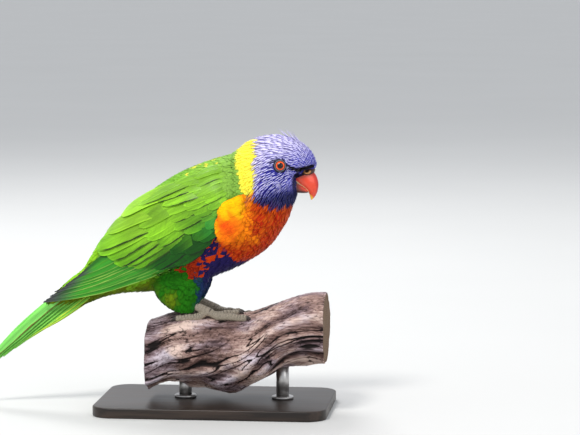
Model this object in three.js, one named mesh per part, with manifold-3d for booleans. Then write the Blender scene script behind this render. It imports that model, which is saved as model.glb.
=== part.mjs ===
// A life-size rainbow lorikeet on a short cut length of gnarled limb, held by a plain display stand.
// Millimetres, +Z up. The bird faces +X and its right side faces -Y. The origin is the middle of the
// underside of the stand's base. The bird and the limb are drawn in a frame of their own, whose zero
// height is the level of the soles, and that frame is lifted by SOLE_HEIGHT at the end.
import * as THREE from "three";
import { mergeVertices } from "three/addons/utils/BufferGeometryUtils.js";
import Module from "manifold-3d";

const wasm = await Module();
wasm.setup();

// Driving sizes
const SOLE_HEIGHT = 72; // soles above the floor
const GAP = 0.3; // between touching pieces
const RIGHT = -1; // side of the body, as the sign of y
const LEFT = 1;

// The whole body in one form, from the rump to the forehead. Each row is one section across it:
// [x and z of the back, x and z of the belly, half width].
const BODY = [
  [-104, 36, -90, 13, 9],
  [-92, 56, -72, 17, 15.5],
  [-76, 76, -48, 19, 22],
  [-55, 94.5, -22, 23.5, 27],
  [-33, 109.5, 2, 32, 30],
  [-13, 119, 24, 42, 31],
  [2, 124, 42, 55, 30],
  [12, 127, 52.5, 69, 27],
  [18.5, 131.5, 58, 79.5, 24],
  [26, 137.3, 60.5, 86.5, 21.8],
  [38.5, 141.2, 62.5, 91.5, 20.3],
  [51.5, 141.3, 63.8, 96, 18.6],
  [64.5, 137, 64, 101, 15.6],
  [73.5, 130.3, 66, 106.5, 11.8],
  [78, 122, 70, 111, 7.6],
  [78.8, 117, 74.5, 114, 3],
];
const NECK_AT = 7.6; // section where the torso and the neck part
const HEAD_CUT = { back: [31, 139.5], throat: [50, 78] }; // the head and the neck part on this line
const BODY_ROUND = 2.15; // exponent of the sections, 2 being an ellipse

// The outer face of the folded wings, out to their tips, in the same kind of rows
const WING_FORM = [
  [-137, 12.5, -131, 3, 11],
  [-120, 27, -108, 1, 13],
  [-104, 43, -86, 7, 15.5],
  [-89, 62, -64, 13, 20],
  [-71, 82, -42, 16, 26.5],
  [-50, 99, -18, 21, 31],
  [-28, 112.5, 8, 30, 33.8],
  [-9, 120.5, 30, 42, 34],
  [6, 126, 46, 58, 31.5],
  [16, 130, 56, 76, 26],
];
const WING_ROUND = 2.1;
const FLANK_LIMIT = 0.985; // how near the ridge of the back a form's side face is followed

// The flesh of the folded wing, a plate on the side of that form. Each row is one section of the form:
// its number, the heights of the wing's lower and upper edges from -1 at the belly to 1 at the back, and
// how deep the wing is there.
const WING_CORE = [
  [8.3, 0.74, 0.9, 1.6],
  [7.95, 0.5, 0.96, 4],
  [7.5, 0.19, 0.985, 6],
  [6.8, -0.1, 0.985, 8],
  [6.1, -0.34, 0.985, 9],
  [5.4, -0.46, 0.985, 9],
  [4.7, -0.53, 0.985, 9],
  [3.9, -0.55, 0.97, 7],
  [3.2, -0.52, 0.86, 5],
  [2.6, -0.47, 0.6, 3.4],
  [2.2, -0.38, 0.34, 2],
];
const CORE_COLUMNS = 7;
const CORE_SINK = 0.4; // how deep the plate's outer face lies
const CORE_EDGE_SINK = 0.8; // and how much deeper at its edges
const CORE_THIN = 2; // thickness there on top of the depth in each row

// Wing tiers. Each runs from its lowest feather to its highest: [x, z] of the roots, the tips and a
// middle tip that bows the line of tips, then the half widths, the height over the wing's form, the
// turn by which each vane's lower edge stands off the one below, and the share of a vane that is rooted.
const WING_TIERS = [
  {
    count: 7, roots: [[-30, 42], [-62, 58]], tips: [[-127, 8.5], [-124, 23], [-94, 43]],
    half: [4.3, 5.4], lift: 0.1, tilt: 0.17, rooted: 0.42,
  },
  {
    count: 6, roots: [[-14, 54], [-60, 82]], tips: [[-36, 41], [-64, 42], [-89, 51]],
    half: [6, 7.6], lift: 0.9, tilt: 0.11, rooted: 0.5,
  },
  {
    count: 5, roots: [[-5, 65], [-44, 95]], tips: [[-25, 54], [-46, 58], [-67, 72]],
    half: [6, 7.6], lift: 1.5, tilt: 0.1, rooted: 0.5,
  },
  {
    count: 4, roots: [[2, 80], [-20, 109]], tips: [[-14, 68], [-32, 76], [-50, 92]],
    half: [6, 7.6], lift: 2, tilt: 0.1, rooted: 0.5,
  },
];
const VANE_STEPS = [0, 0.3, 0.6, 0.82, 0.95, 1];
const VANE_THICK = 0.6;
const VANE_BOW = 1.2; // how far a wing vane bows up between its ends
const ROOT_SINK = 3; // depth of a vane's root under the face that it grows from

// Tail
const TAIL_PAIRS = 6;
const TAIL_ROOTS = { middle: [-106, 32, 3.6], outer: [-98, 13, 6.2] }; // x, z and distance from the middle
const TAIL_TIPS = { middle: [-187, -41, 1.4], outer: [-144, -19, 6.4] };
const TAIL_HALF = [5.2, 4.2]; // half widths of the middle and the outer feathers
const TAIL_ROLL = [0.15, 0.85]; // radians by which those lean over to the side
const TAIL_ARCH = 3.2; // how far the middle feathers bow up
const TAIL_STAGGER = 1.1; // how far the left half of the tail lies under the right half
// The fleshy root of the tail, in rows like those of the body
const TAIL_ROOT = [
  [-104, 36, -90, 13, 8.4],
  [-113, 28.6, -100, 9, 8],
  [-124, 18.5, -113, 3, 6.6],
  [-133, 9, -125, -0.5, 4],
];
const TAIL_ROOT_SIDES = 16;
// Coverts over the root of the tail, then under it: roots and tips as x, z and distance from the middle
const TAIL_COVERTS = [
  { root: [-103, 35, 3.4], tip: [-139, 8.4, 3.8], half: 4.4, roll: 0.3, up: 1 },
  { root: [-101, 30, 6.6], tip: [-132, 5.5, 7.4], half: 4.2, roll: 0.8, up: 1 },
  { root: [-94, 12, 3.6], tip: [-124, -4.6, 3.6], half: 4.4, roll: 0.3, up: -1 },
];

// Head
const EYE = { x: 52.3, z: 119, radius: 5.2, aperture: 3.9, out: -0.9 };
const LID_THICK = 0.75;
const [LID_SIDES, LID_STEPS] = [5, 14];
const BALL_CELLS = [14, 9]; // cells round a ball and down it
// Bill, in rows like those of the body, from the face to the tip: front edge, rear edge, half width
const BILL_UPPER = [
  [75.5, 113.5, 60, 107, 6.6],
  [77.8, 110.5, 62.2, 105.4, 6.5],
  [79.3, 106.5, 65.2, 103.2, 6.1],
  [79.8, 102.6, 69, 100.8, 5.2],
  [79.2, 98.6, 71.8, 98, 4.1],
  [77.9, 95.2, 73.1, 95.4, 2.8],
  [76.3, 92.9, 73.6, 93.2, 1.6],
  [74.6, 91.2, 73.9, 91.6, 0.4],
];
const BILL_LOWER = [
  [59, 105.5, 61, 97.4, 5.7],
  [63, 104.3, 64.4, 96.4, 5.4],
  [66.6, 102, 67.8, 96, 4.8],
  [70, 99.6, 70.9, 96.2, 3.8],
  [72.4, 98.2, 72.8, 96.9, 1.8],
];
const BILL_KEEL = 0.3; // how much narrower the ridge of the upper bill is
const BILL_SIDES = 14;
const CERE = { x: 71.6, z: 112.6, radii: [6, 3.2, 6.6], tilt: -0.45 };
const NOSTRIL = { x: 71.6, y: 5.4, z: 113.6, radii: [1.1, 0.9, 1.3], cells: [6, 5] };

// Legs and feet
const LEG_Y = 14;
const TARSUS_RADIUS = 3.3;
// Feathered thigh, from the hip down: height, x, half length, half width, distance from the midline
const THIGH = [
  [60, -16, 18, 6, 11],
  [44, -21, 21, 8.5, 12.5],
  [30, -25, 21.5, 9.5, 13],
  [19, -26.5, 19.5, 9, 13.5],
  [10, -25, 13, 7.5, 14],
  [5, -22, 7, 5, 14],
];
const [THIGH_ROWS, THIGH_SIDES] = [9, 16];
const ANKLE = [-19, 12.5]; // x and z
const FOOT_JOINT = [-5, 5.2];
const TOES = [
  // x and y of each tip, y away from the midline being positive, and the radius at the root
  { name: "1", tip: [-19, -7], radius: 2.6 },
  { name: "2", tip: [17, -7.5], radius: 2.8 },
  { name: "3", tip: [24, 3.5], radius: 3.1 },
  { name: "4", tip: [-27, 2.5], radius: 3.0 },
];
const TOE_SINK = 0.9;
const TOE_ROWS = 8;
const TOE_PADS = 3;
const TOE_SIDES = 7;
const CLAW_LENGTH = 7.5;
const CLAW_RISE = 0.6;

// Limb
const LIMB_ENDS = [-52, 86];
const LIMB_HALF = [33, 28]; // across and upright
const LIMB_RISE = 17; // how far the right-hand end stands above the feet
const LIMB_DROP = 7; // how far the left-hand end hangs below them
const LIMB_CROWN = 2.6; // height of the middle of the limb between the feet
const LIMB_GNARL = 1.3;
const [LIMB_ROWS, LIMB_SIDES] = [18, 22];
const KNOTS = [
  { x: 50, angle: 3.35, size: 13, height: 5, hollow: 5 },
  { x: -20, angle: 5.6, size: 12, height: 4.5, hollow: 3 },
];

// Stand
const BASE = { length: 180, width: 112, thick: 8, corner: 16, bevel: 1.2 };
const ROD_RADIUS = 5;
const ROD_PLACES = [[-24, 0], [52, 0]];

const PAINT = {
  head: [0x4a4ab8, 0.75], collar: [0xe8e81a, 0.75], breast: [0xe0641a, 0.75], wing: [0x46b01c, 0.6],
  tail: [0x58b83a, 0.6], thigh: [0x3c9a1c, 0.75], bill: [0xd8442a, 0.3], cere: [0x8a5a34, 0.5],
  eye: [0x1c100c, 0.08], foot: [0x8c857a, 0.7], claw: [0x4a443e, 0.4], limb: [0x5a4638, 0.9],
  stand: [0x2a2724, 0.5], rod: [0x6c6c6c, 0.35],
};

const TIDY = 0.04; // slivers left by a union or a cut are cleared to within this
const BODY_SIDES = 24;
const TORSO_ROWS = 15;
const HEAD_ROWS = 15;

// Small helpers

const mix = (a, b, t) => a + (b - a) * t;
const smoothstep = (t) => {
  const s = Math.min(Math.max(t, 0), 1);
  return s * s * (3 - 2 * s);
};
const at = (x, y, z) => new THREE.Vector3(x, y, z);

// A row of numbers between the rows of a table, on a Catmull-Rom curve.
function between(table, u) {
  const last = table.length - 1;
  const i = Math.min(Math.max(Math.floor(u), 0), last - 1);
  const t = u - i;
  const [a, b, c, d] = [i - 1, i, i + 1, i + 2].map((k) => table[Math.min(Math.max(k, 0), last)]);
  return b.map((_, k) => {
    const slopeIn = (c[k] - a[k]) / 2;
    const slopeOut = (d[k] - b[k]) / 2;
    const bend = 3 * (c[k] - b[k]) - 2 * slopeIn - slopeOut;
    const twist = 2 * (b[k] - c[k]) + slopeIn + slopeOut;
    return b[k] + slopeIn * t + bend * t * t + twist * t * t * t;
  });
}

// The manifold solid of a closed geometry, turned to face out.
function solid(geometry) {
  for (const extra of ["normal", "uv"]) {
    if (geometry.getAttribute(extra)) geometry.deleteAttribute(extra);
  }
  const merged = mergeVertices(geometry, 1e-4);
  const build = (triVerts) =>
    new wasm.Manifold(
      new wasm.Mesh({
        numProp: 3,
        vertProperties: new Float32Array(merged.getAttribute("position").array),
        triVerts,
      }),
    );
  const triVerts = new Uint32Array(merged.index.array);
  const made = build(triVerts);
  if (made.volume() >= 0) return made;
  for (let i = 0; i < triVerts.length; i += 3) {
    [triVerts[i + 1], triVerts[i + 2]] = [triVerts[i + 2], triVerts[i + 1]];
  }
  return build(triVerts);
}

function geometryOf(points, faces) {
  const geometry = new THREE.BufferGeometry();
  geometry.setAttribute("position", new THREE.Float32BufferAttribute(points.flatMap((p) => p.toArray()), 3));
  geometry.setIndex(faces);
  return geometry;
}

// A closed form through rings of points, with a flat or pointed cap on each end.
function loft(rings) {
  const sides = rings[0].length;
  const points = rings.flat();
  const faces = [];
  for (let r = 0; r + 1 < rings.length; r++) {
    for (let k = 0; k < sides; k++) {
      const a = r * sides + k;
      const b = r * sides + ((k + 1) % sides);
      faces.push(a, b, a + sides, b, b + sides, a + sides);
    }
  }
  for (const [ring, flip] of [[0, true], [rings.length - 1, false]]) {
    const centre = rings[ring].reduce((sum, p) => sum.add(p), at(0, 0, 0)).divideScalar(sides);
    points.push(centre);
    for (let k = 0; k < sides; k++) {
      const a = ring * sides + k;
      const b = ring * sides + ((k + 1) % sides);
      faces.push(...(flip ? [b, a, points.length - 1] : [a, b, points.length - 1]));
    }
  }
  return solid(geometryOf(points, faces));
}

// A closed plate between an upper and a lower grid of points, split into triangles alike on both faces.
function plate(rows) {
  const columns = rows[0].length;
  const points = rows.flatMap((row) => row.flatMap(({ top, under }) => [top, under]));
  const index = (r, c, under) => 2 * (r * columns + c) + (under ? 1 : 0);
  const faces = [];
  const quad = (a, b, c, d) => faces.push(a, b, c, a, c, d);
  for (let r = 0; r + 1 < rows.length; r++) {
    for (let c = 0; c + 1 < columns; c++) {
      quad(index(r, c), index(r, c + 1), index(r + 1, c + 1), index(r + 1, c));
      const [a, b] = [index(r, c, true), index(r, c + 1, true)];
      const [d, e] = [index(r + 1, c + 1, true), index(r + 1, c, true)];
      faces.push(a, d, b, a, e, d);
    }
    quad(index(r, 0), index(r + 1, 0), index(r + 1, 0, true), index(r, 0, true));
    const end = columns - 1;
    quad(index(r + 1, end), index(r, end), index(r, end, true), index(r + 1, end, true));
  }
  const foot = rows.length - 1;
  for (let c = 0; c + 1 < columns; c++) {
    quad(index(0, c + 1), index(0, c), index(0, c, true), index(0, c + 1, true));
    quad(index(foot, c), index(foot, c + 1), index(foot, c + 1, true), index(foot, c, true));
  }
  return solid(geometryOf(points, faces));
}

const fuse = (solids) => wasm.Manifold.union(solids);

// The largest closed surface of a solid, with sealed hollows filled and loose scraps dropped.
function largest(made) {
  const pieces = made.decompose().sort((a, b) => b.volume() - a.volume());
  return pieces[0];
}

function meshOf(name, made, paint, frame) {
  const tidy = largest(made.simplify(TIDY));
  const { numProp, vertProperties, triVerts } = tidy.getMesh();
  const points = [];
  for (let i = 0; i < vertProperties.length; i += numProp) {
    points.push(at(vertProperties[i], vertProperties[i + 1], vertProperties[i + 2]));
  }
  const geometry = geometryOf(points, Array.from(triVerts));
  geometry.computeVertexNormals();
  const [color, roughness] = PAINT[paint];
  const mesh = new THREE.Mesh(geometry, new THREE.MeshStandardMaterial({ color, roughness, metalness: 0 }));
  mesh.name = name;
  frame.add(mesh);
  return mesh;
}

// Sections across the body

// One section of a form: the middle, the unit vector from belly to back, and the half sizes.
function sectionOf(form, u) {
  const [backX, backZ, bellyX, bellyZ, half] = between(form, u);
  const middle = at((backX + bellyX) / 2, 0, (backZ + bellyZ) / 2);
  const up = at(backX - bellyX, 0, backZ - bellyZ);
  const depth = up.length() / 2;
  return { middle, up: up.normalize(), depth, half };
}

function ringOf(form, u, round, sides, grow = 0, shift = 0) {
  const { middle, up, depth, half } = sectionOf(form, u);
  const along = at(up.z, 0, -up.x).multiplyScalar(shift);
  const power = 2 / round;
  return Array.from({ length: sides }, (_, k) => {
    const angle = (2 * Math.PI * k) / sides;
    const [c, s] = [Math.cos(angle), Math.sin(angle)];
    const height = Math.sign(c) * Math.abs(c) ** power * (depth + grow);
    const width = Math.sign(s) * Math.abs(s) ** power * (half + grow);
    return middle.clone().addScaledVector(up, height).add(at(0, width, 0)).add(along);
  });
}

// A stretch of the body from section u0 to u1, with its first face moved forward by the gap.
function bodyLength(u0, u1, rows, sides, grow = 0, startGap = 0) {
  const rings = [];
  for (let r = 0; r <= rows; r++) {
    rings.push(ringOf(BODY, mix(u0, u1, r / rows), BODY_ROUND, sides, grow, r === 0 ? startGap : 0));
  }
  return loft(rings);
}

// The point of a form's side face over a point of the side view, and its outward normal there.
function sideWidth(form, round, x, z) {
  let [low, high] = [0, form.length - 1];
  for (let i = 0; i < 26; i++) {
    const u = (low + high) / 2;
    const { middle, up } = sectionOf(form, u);
    const ahead = (x - middle.x) * up.z - (z - middle.z) * up.x;
    if (ahead > 0) low = u;
    else high = u;
  }
  const { middle, up, depth, half } = sectionOf(form, low);
  const height = ((x - middle.x) * up.x + (z - middle.z) * up.z) / depth;
  const limited = Math.min(Math.abs(height), FLANK_LIMIT);
  return half * (1 - limited ** round) ** (1 / round);
}

function onSide(form, round, side, x, z, lift = 0) {
  const step = 0.5;
  const y = sideWidth(form, round, x, z);
  const slopeX = (sideWidth(form, round, x + step, z) - y) / step;
  const slopeZ = (sideWidth(form, round, x, z + step) - y) / step;
  const normal = at(-slopeX, side, -slopeZ).normalize();
  return { point: at(x, side * y, z).addScaledVector(normal, lift), normal };
}

// Feathers

// Half width of a vane along its length: narrow at the root, then rounded or drawn out to the tip.
function vaneOutline(t, half, roundFrom) {
  const base = mix(0.45, 1, smoothstep(t / 0.45));
  const past = Math.max(0, (t - roundFrom) / (1 - roundFrom));
  return half * base * Math.max(Math.sqrt(1 - past * past), 0.16);
}

// place(t) gives a point and the outward normal along the shaft; tilt turns the vane about its shaft.
function vane(place, half, { tilt = 0, thick = VANE_THICK, roundFrom = 0.72 } = {}) {
  const rows = VANE_STEPS.map((t) => {
    const { point, normal } = place(t);
    const along = place(Math.min(t + 0.02, 1)).point.sub(place(Math.max(t - 0.02, 0)).point).normalize();
    const across = at(0, 0, 0).crossVectors(normal, along).normalize().applyAxisAngle(along, tilt);
    const out = at(0, 0, 0).crossVectors(along, across).normalize();
    const width = vaneOutline(t, half, roundFrom);
    return [-width, width].map((offset) => {
      const edge = point.clone().addScaledVector(across, offset);
      return {
        top: edge.clone().addScaledVector(out, thick / 2),
        under: edge.clone().addScaledVector(out, -thick / 2),
      };
    });
  });
  return plate(rows);
}

// Wings

function wingVane(side, root, tip, half, { lift, tilt, rooted }) {
  const place = (t) => {
    const bow = VANE_BOW * Math.sin(Math.PI * t);
    const rise = mix(-ROOT_SINK, lift, smoothstep(t / rooted));
    return onSide(WING_FORM, WING_ROUND, side, mix(root[0], tip[0], t), mix(root[1], tip[1], t) + bow, rise);
  };
  return vane(place, half, { tilt: side * tilt });
}

function wingTier(side, tier) {
  const [tipLow, tipMiddle, tipHigh] = tier.tips;
  return Array.from({ length: tier.count }, (_, i) => {
    const s = i / (tier.count - 1);
    const root = [0, 1].map((k) => mix(tier.roots[0][k], tier.roots[1][k], s));
    const tip = [0, 1].map((k) => (1 - s) * (1 - 2 * s) * tipLow[k] + 4 * s * (1 - s) * tipMiddle[k]
      + s * (2 * s - 1) * tipHigh[k]);
    return wingVane(side, root, tip, mix(tier.half[0], tier.half[1], s), tier);
  });
}

function wingCore(side) {
  return plate(WING_CORE.map(([u, low, high, deep]) => {
    const { middle, up, depth, half } = sectionOf(WING_FORM, u);
    return Array.from({ length: CORE_COLUMNS }, (_, c) => {
      const s = c / (CORE_COLUMNS - 1);
      const angle = mix(Math.asin(low), Math.asin(high), s);
      const out = Math.sin(Math.PI * s);
      const height = Math.sin(angle);
      const width = half * (1 - Math.abs(height) ** WING_ROUND) ** (1 / WING_ROUND);
      const face = middle.clone().addScaledVector(up, height * depth).add(at(0, side * width, 0));
      const normal = up.clone().multiplyScalar(height / depth).add(at(0, (side * Math.cos(angle)) / half, 0));
      normal.normalize();
      return {
        top: face.clone().addScaledVector(normal, -CORE_SINK - CORE_EDGE_SINK * (1 - out)),
        under: face.clone().addScaledVector(normal, -CORE_SINK - CORE_THIN - deep * out),
      };
    });
  }));
}

// Tail

function tailRoot(grow = 0) {
  const rows = TAIL_ROOT.map((_, u) => ringOf(TAIL_ROOT, u, 2, TAIL_ROOT_SIDES, grow, u === 0 ? -GAP : 0));
  return loft(rows);
}

// The shaft of a tail feather, with s 0 for the middle pair and 1 for the outer one
function tailPlace(side, s) {
  const root = [0, 1, 2].map((k) => mix(TAIL_ROOTS.middle[k], TAIL_ROOTS.outer[k], s));
  const tip = [0, 1, 2].map((k) => mix(TAIL_TIPS.middle[k], TAIL_TIPS.outer[k], s));
  const roll = mix(TAIL_ROLL[0], TAIL_ROLL[1], s);
  const run = at(tip[0] - root[0], 0, tip[1] - root[1]).normalize();
  const up = at(run.z, 0, -run.x);
  const normal = up.clone().multiplyScalar(Math.cos(roll)).add(at(0, side * Math.sin(roll), 0));
  return (t) => {
    const arch = TAIL_ARCH * Math.sin(Math.PI * t) * (1 - s) - (side === LEFT ? TAIL_STAGGER : 0);
    const [x, z, y] = [0, 1, 2].map((k) => mix(root[k], tip[k], t));
    return { point: at(x, side * y, z).addScaledVector(up, arch), normal };
  };
}

function tailFeathers(grow = 0) {
  const made = [];
  for (const side of [RIGHT, LEFT]) {
    for (let pair = 0; pair < TAIL_PAIRS; pair++) {
      const s = pair / (TAIL_PAIRS - 1);
      const half = mix(TAIL_HALF[0], TAIL_HALF[1], s) + grow;
      made.push(vane(tailPlace(side, s), half, { thick: VANE_THICK + 2 * grow, roundFrom: 0.5 }));
    }
  }
  return made;
}

function tailCoverts(grow = 0) {
  const made = [];
  for (const side of [RIGHT, LEFT]) {
    for (const { root, tip, half, roll, up } of TAIL_COVERTS) {
      const run = at(tip[0] - root[0], 0, tip[1] - root[1]).normalize();
      const normal = at(run.z, 0, -run.x).multiplyScalar(up * Math.cos(roll));
      normal.add(at(0, side * Math.sin(roll), 0));
      const place = (t) => {
        const [x, z, y] = [0, 1, 2].map((k) => mix(root[k], tip[k], t));
        return { point: at(x, side * y, z), normal };
      };
      made.push(vane(place, half + grow, { thick: VANE_THICK + 2 * grow }));
    }
  }
  return made;
}

// Bill and eyes

function billForm(rows, keel, grow = 0) {
  return loft(rows.map((_, u) => {
    const ring = ringOf(rows, u, 2, BILL_SIDES, grow);
    const { middle, up, depth } = sectionOf(rows, u);
    return ring.map((p) => {
      const forward = p.clone().sub(middle).dot(up) / depth;
      return at(p.x, p.y * (1 - keel * Math.min(Math.max(forward, -1), 1)), p.z);
    });
  }));
}

function ball(centre, radii, tilt = 0, [around, down] = BALL_CELLS) {
  const geometry = new THREE.SphereGeometry(1, around, down);
  geometry.scale(...radii).rotateX(Math.PI / 2).rotateY(tilt).translate(centre.x, centre.y, centre.z);
  return solid(geometry);
}

// The middle of an eyeball, and the way it looks
function eyePlace(side) {
  const surface = onSide(BODY, BODY_ROUND, side, EYE.x, EYE.z, EYE.out);
  const depth = Math.sqrt(EYE.radius ** 2 - EYE.aperture ** 2);
  return {
    look: surface.normal,
    rim: surface.point,
    centre: surface.point.clone().addScaledVector(surface.normal, -depth),
  };
}

function lid(side) {
  const { look, rim } = eyePlace(side);
  const geometry = new THREE.TorusGeometry(EYE.aperture + LID_THICK, LID_THICK, LID_SIDES, LID_STEPS);
  geometry.applyQuaternion(new THREE.Quaternion().setFromUnitVectors(at(0, 0, 1), look));
  geometry.translate(rim.x, rim.y, rim.z);
  return solid(geometry);
}

// Limb

function limbSection(x) {
  const rise = LIMB_RISE * smoothstep((x - 18) / 62) - LIMB_DROP * smoothstep((-28 - x) / 28);
  const swell = 1 + 0.07 * Math.sin(x / 17 + 1);
  const [halfY, halfZ] = LIMB_HALF.map((half) => half * swell);
  return { middle: LIMB_CROWN + rise - halfZ, halfY, halfZ };
}

// How far the bark stands out, by place along the limb and angle round it, 90 degrees being the crown
function gnarl(x, angle) {
  const quiet = 1 - 0.85 * Math.exp(-(((angle - Math.PI / 2) / 0.75) ** 2));
  const ridges = Math.sin(3 * angle + x / 11) + 0.7 * Math.sin(5 * angle - x / 7 + 1) + 0.5 * Math.sin(x / 5);
  let out = LIMB_GNARL * quiet * ridges;
  for (const knot of KNOTS) {
    const turn = Math.atan2(Math.sin(angle - knot.angle), Math.cos(angle - knot.angle));
    const near = Math.hypot((x - knot.x) / knot.size, (turn * LIMB_HALF[1]) / knot.size);
    out += knot.height * Math.exp(-near * near) - knot.hollow * Math.exp(-5 * near * near);
  }
  return out;
}

function limb(grow = 0) {
  const rings = [];
  for (let r = 0; r <= LIMB_ROWS; r++) {
    const x = mix(LIMB_ENDS[0], LIMB_ENDS[1], r / LIMB_ROWS);
    const end = r === 0 ? -grow : r === LIMB_ROWS ? grow : 0;
    const { middle, halfY, halfZ } = limbSection(x);
    rings.push(Array.from({ length: LIMB_SIDES }, (_, k) => {
      const angle = (2 * Math.PI * k) / LIMB_SIDES;
      const out = gnarl(x, angle) + grow;
      return at(x + end, (halfY + out) * Math.cos(angle), middle + (halfZ + out) * Math.sin(angle));
    }));
  }
  return loft(rings);
}

// Height of the limb's upper face over a point of its plan
function limbTop(x, y) {
  const { middle, halfY, halfZ } = limbSection(x);
  let angle = Math.PI / 2;
  for (let i = 0; i < 8; i++) angle = Math.acos(y / (halfY + gnarl(x, angle)));
  return middle + (halfZ + gnarl(x, angle)) * Math.sin(angle);
}

// Legs

function thigh(side, grow = 0) {
  return loft(Array.from({ length: THIGH_ROWS + 1 }, (_, r) => {
    const [z, x, halfX, halfY, y] = between(THIGH, (r / THIGH_ROWS) * (THIGH.length - 1));
    return Array.from({ length: THIGH_SIDES }, (_, k) => {
      const angle = (2 * Math.PI * k) / THIGH_SIDES;
      const end = r === 0 ? grow : r === THIGH_ROWS ? -grow : 0;
      return at(x + (halfX + grow) * Math.cos(angle), side * (y + (halfY + grow) * Math.sin(angle)), z + end);
    });
  }));
}

// A tube through points, each with its radius, with rings square to the run
function tube(points, radii, sides) {
  return loft(points.map((p, i) => {
    const before = points[Math.max(i - 1, 0)];
    const after = points[Math.min(i + 1, points.length - 1)];
    const run = after.clone().sub(before).normalize();
    const across = at(0, 0, 0).crossVectors(at(0, 0, 1), run).normalize();
    const up = at(0, 0, 0).crossVectors(run, across);
    return Array.from({ length: sides }, (_, k) => {
      const angle = (2 * Math.PI * k) / sides;
      return p.clone().addScaledVector(across, radii[i] * Math.cos(angle))
        .addScaledVector(up, radii[i] * Math.sin(angle));
    });
  }));
}

const footJoint = (side) => at(FOOT_JOINT[0], side * LEG_Y, FOOT_JOINT[1]);

// The middle line of a toe over the limb, from the joint of the foot
function toeLine(side, toe) {
  const joint = footJoint(side);
  const tipY = side * (LEG_Y + toe.tip[1]);
  return Array.from({ length: TOE_ROWS + 1 }, (_, i) => {
    const t = i / TOE_ROWS;
    const [x, y] = [mix(joint.x, toe.tip[0], t), mix(joint.y, tipY, t)];
    const radius = toe.radius * mix(1, 0.74, t) * (1 + 0.07 * Math.cos(2 * Math.PI * TOE_PADS * t));
    const laid = limbTop(x, y) + radius - TOE_SINK;
    return { point: at(x, y, mix(joint.z, laid, smoothstep(t / 0.35))), radius };
  });
}

function foot(side) {
  const joint = footJoint(side);
  const ankle = at(ANKLE[0], side * LEG_Y, ANKLE[1]);
  const shank = [ankle, ankle.clone().lerp(joint, 0.5), joint, joint.clone().lerp(ankle, -0.16)];
  const parts = [tube(shank, [1, 0.92, 1.08, 0.6].map((r) => r * TARSUS_RADIUS), 10)];
  for (const toe of TOES) {
    const line = toeLine(side, toe);
    parts.push(tube(line.map((s) => s.point), line.map((s) => s.radius), TOE_SIDES));
  }
  return fuse(parts);
}

function claw(side, toe) {
  const line = toeLine(side, toe);
  const [before, last] = line.slice(-2);
  const run = last.point.clone().sub(before.point).normalize();
  const start = last.point.clone().addScaledVector(run, GAP + 0.02);
  const count = 5;
  const points = Array.from({ length: count + 1 }, (_, i) => {
    const t = i / count;
    const ahead = CLAW_LENGTH * Math.sin(1.25 * t) / 1.25;
    const drop = 0.55 * CLAW_LENGTH * (1 - Math.cos(1.25 * t));
    return start.clone().addScaledVector(run, ahead).add(at(0, 0, CLAW_RISE * Math.sin(2.4 * t) - drop));
  });
  return tube(points, points.map((_, i) => mix(last.radius * 0.72, 0.25, i / count)), 6);
}

// Stand

function standBase() {
  const { length, width, thick, corner, bevel } = BASE;
  const [x, y] = [length / 2 - bevel, width / 2 - bevel];
  const outline = new THREE.Shape();
  outline.absarc(x - corner, y - corner, corner, 0, Math.PI / 2);
  outline.absarc(corner - x, y - corner, corner, Math.PI / 2, Math.PI);
  outline.absarc(corner - x, corner - y, corner, Math.PI, 1.5 * Math.PI);
  outline.absarc(x - corner, corner - y, corner, 1.5 * Math.PI, 2 * Math.PI);
  const geometry = new THREE.ExtrudeGeometry(outline, {
    depth: thick - 2 * bevel, bevelThickness: bevel, bevelSize: bevel, bevelSegments: 1, curveSegments: 5,
  });
  return solid(geometry.translate(0, 0, bevel));
}

function standRod([x, y], room) {
  const [low, high] = [BASE.thick + GAP, SOLE_HEIGHT];
  const geometry = new THREE.CylinderGeometry(ROD_RADIUS, ROD_RADIUS, high - low, 24);
  geometry.rotateX(Math.PI / 2).translate(x, y, (low + high) / 2 - SOLE_HEIGHT);
  return solid(geometry).subtract(room);
}

// The whole part

const part = new THREE.Group();
const bird = new THREE.Group();
bird.position.z = SOLE_HEIGHT;
part.add(bird);

const torsoRoom = loft(Array.from({ length: TORSO_ROWS + 1 }, (_, r) => {
  const shift = r === 0 ? -GAP : r === TORSO_ROWS ? GAP : 0;
  return ringOf(BODY, mix(0, NECK_AT, r / TORSO_ROWS), BODY_ROUND, BODY_SIDES, GAP, shift);
}));
const headRoom = bodyLength(NECK_AT, BODY.length - 1, HEAD_ROWS, BODY_SIDES, GAP);
const limbRoom = limb(GAP);

meshOf("torso", bodyLength(0, NECK_AT, TORSO_ROWS, BODY_SIDES), "breast", bird);

const neckAndHead = bodyLength(NECK_AT, BODY.length - 1, HEAD_ROWS, BODY_SIDES, 0, GAP);
const cut = at(...HEAD_CUT.back, 0).sub(at(...HEAD_CUT.throat, 0)).normalize();
const forward = [cut.y, 0, -cut.x];
const cutOffset = HEAD_CUT.back[0] * forward[0] + HEAD_CUT.back[1] * forward[2];
const backward = forward.map((v) => -v);
meshOf("neck", neckAndHead.trimByPlane(backward, -cutOffset), "collar", bird);
let head = fuse([neckAndHead.trimByPlane(forward, cutOffset + GAP), lid(RIGHT), lid(LEFT)]);
for (const side of [RIGHT, LEFT]) {
  const { centre } = eyePlace(side);
  const socket = EYE.radius + GAP;
  head = head.subtract(ball(centre, [socket, socket, socket]));
}
meshOf("head", head, "head", bird);

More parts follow.
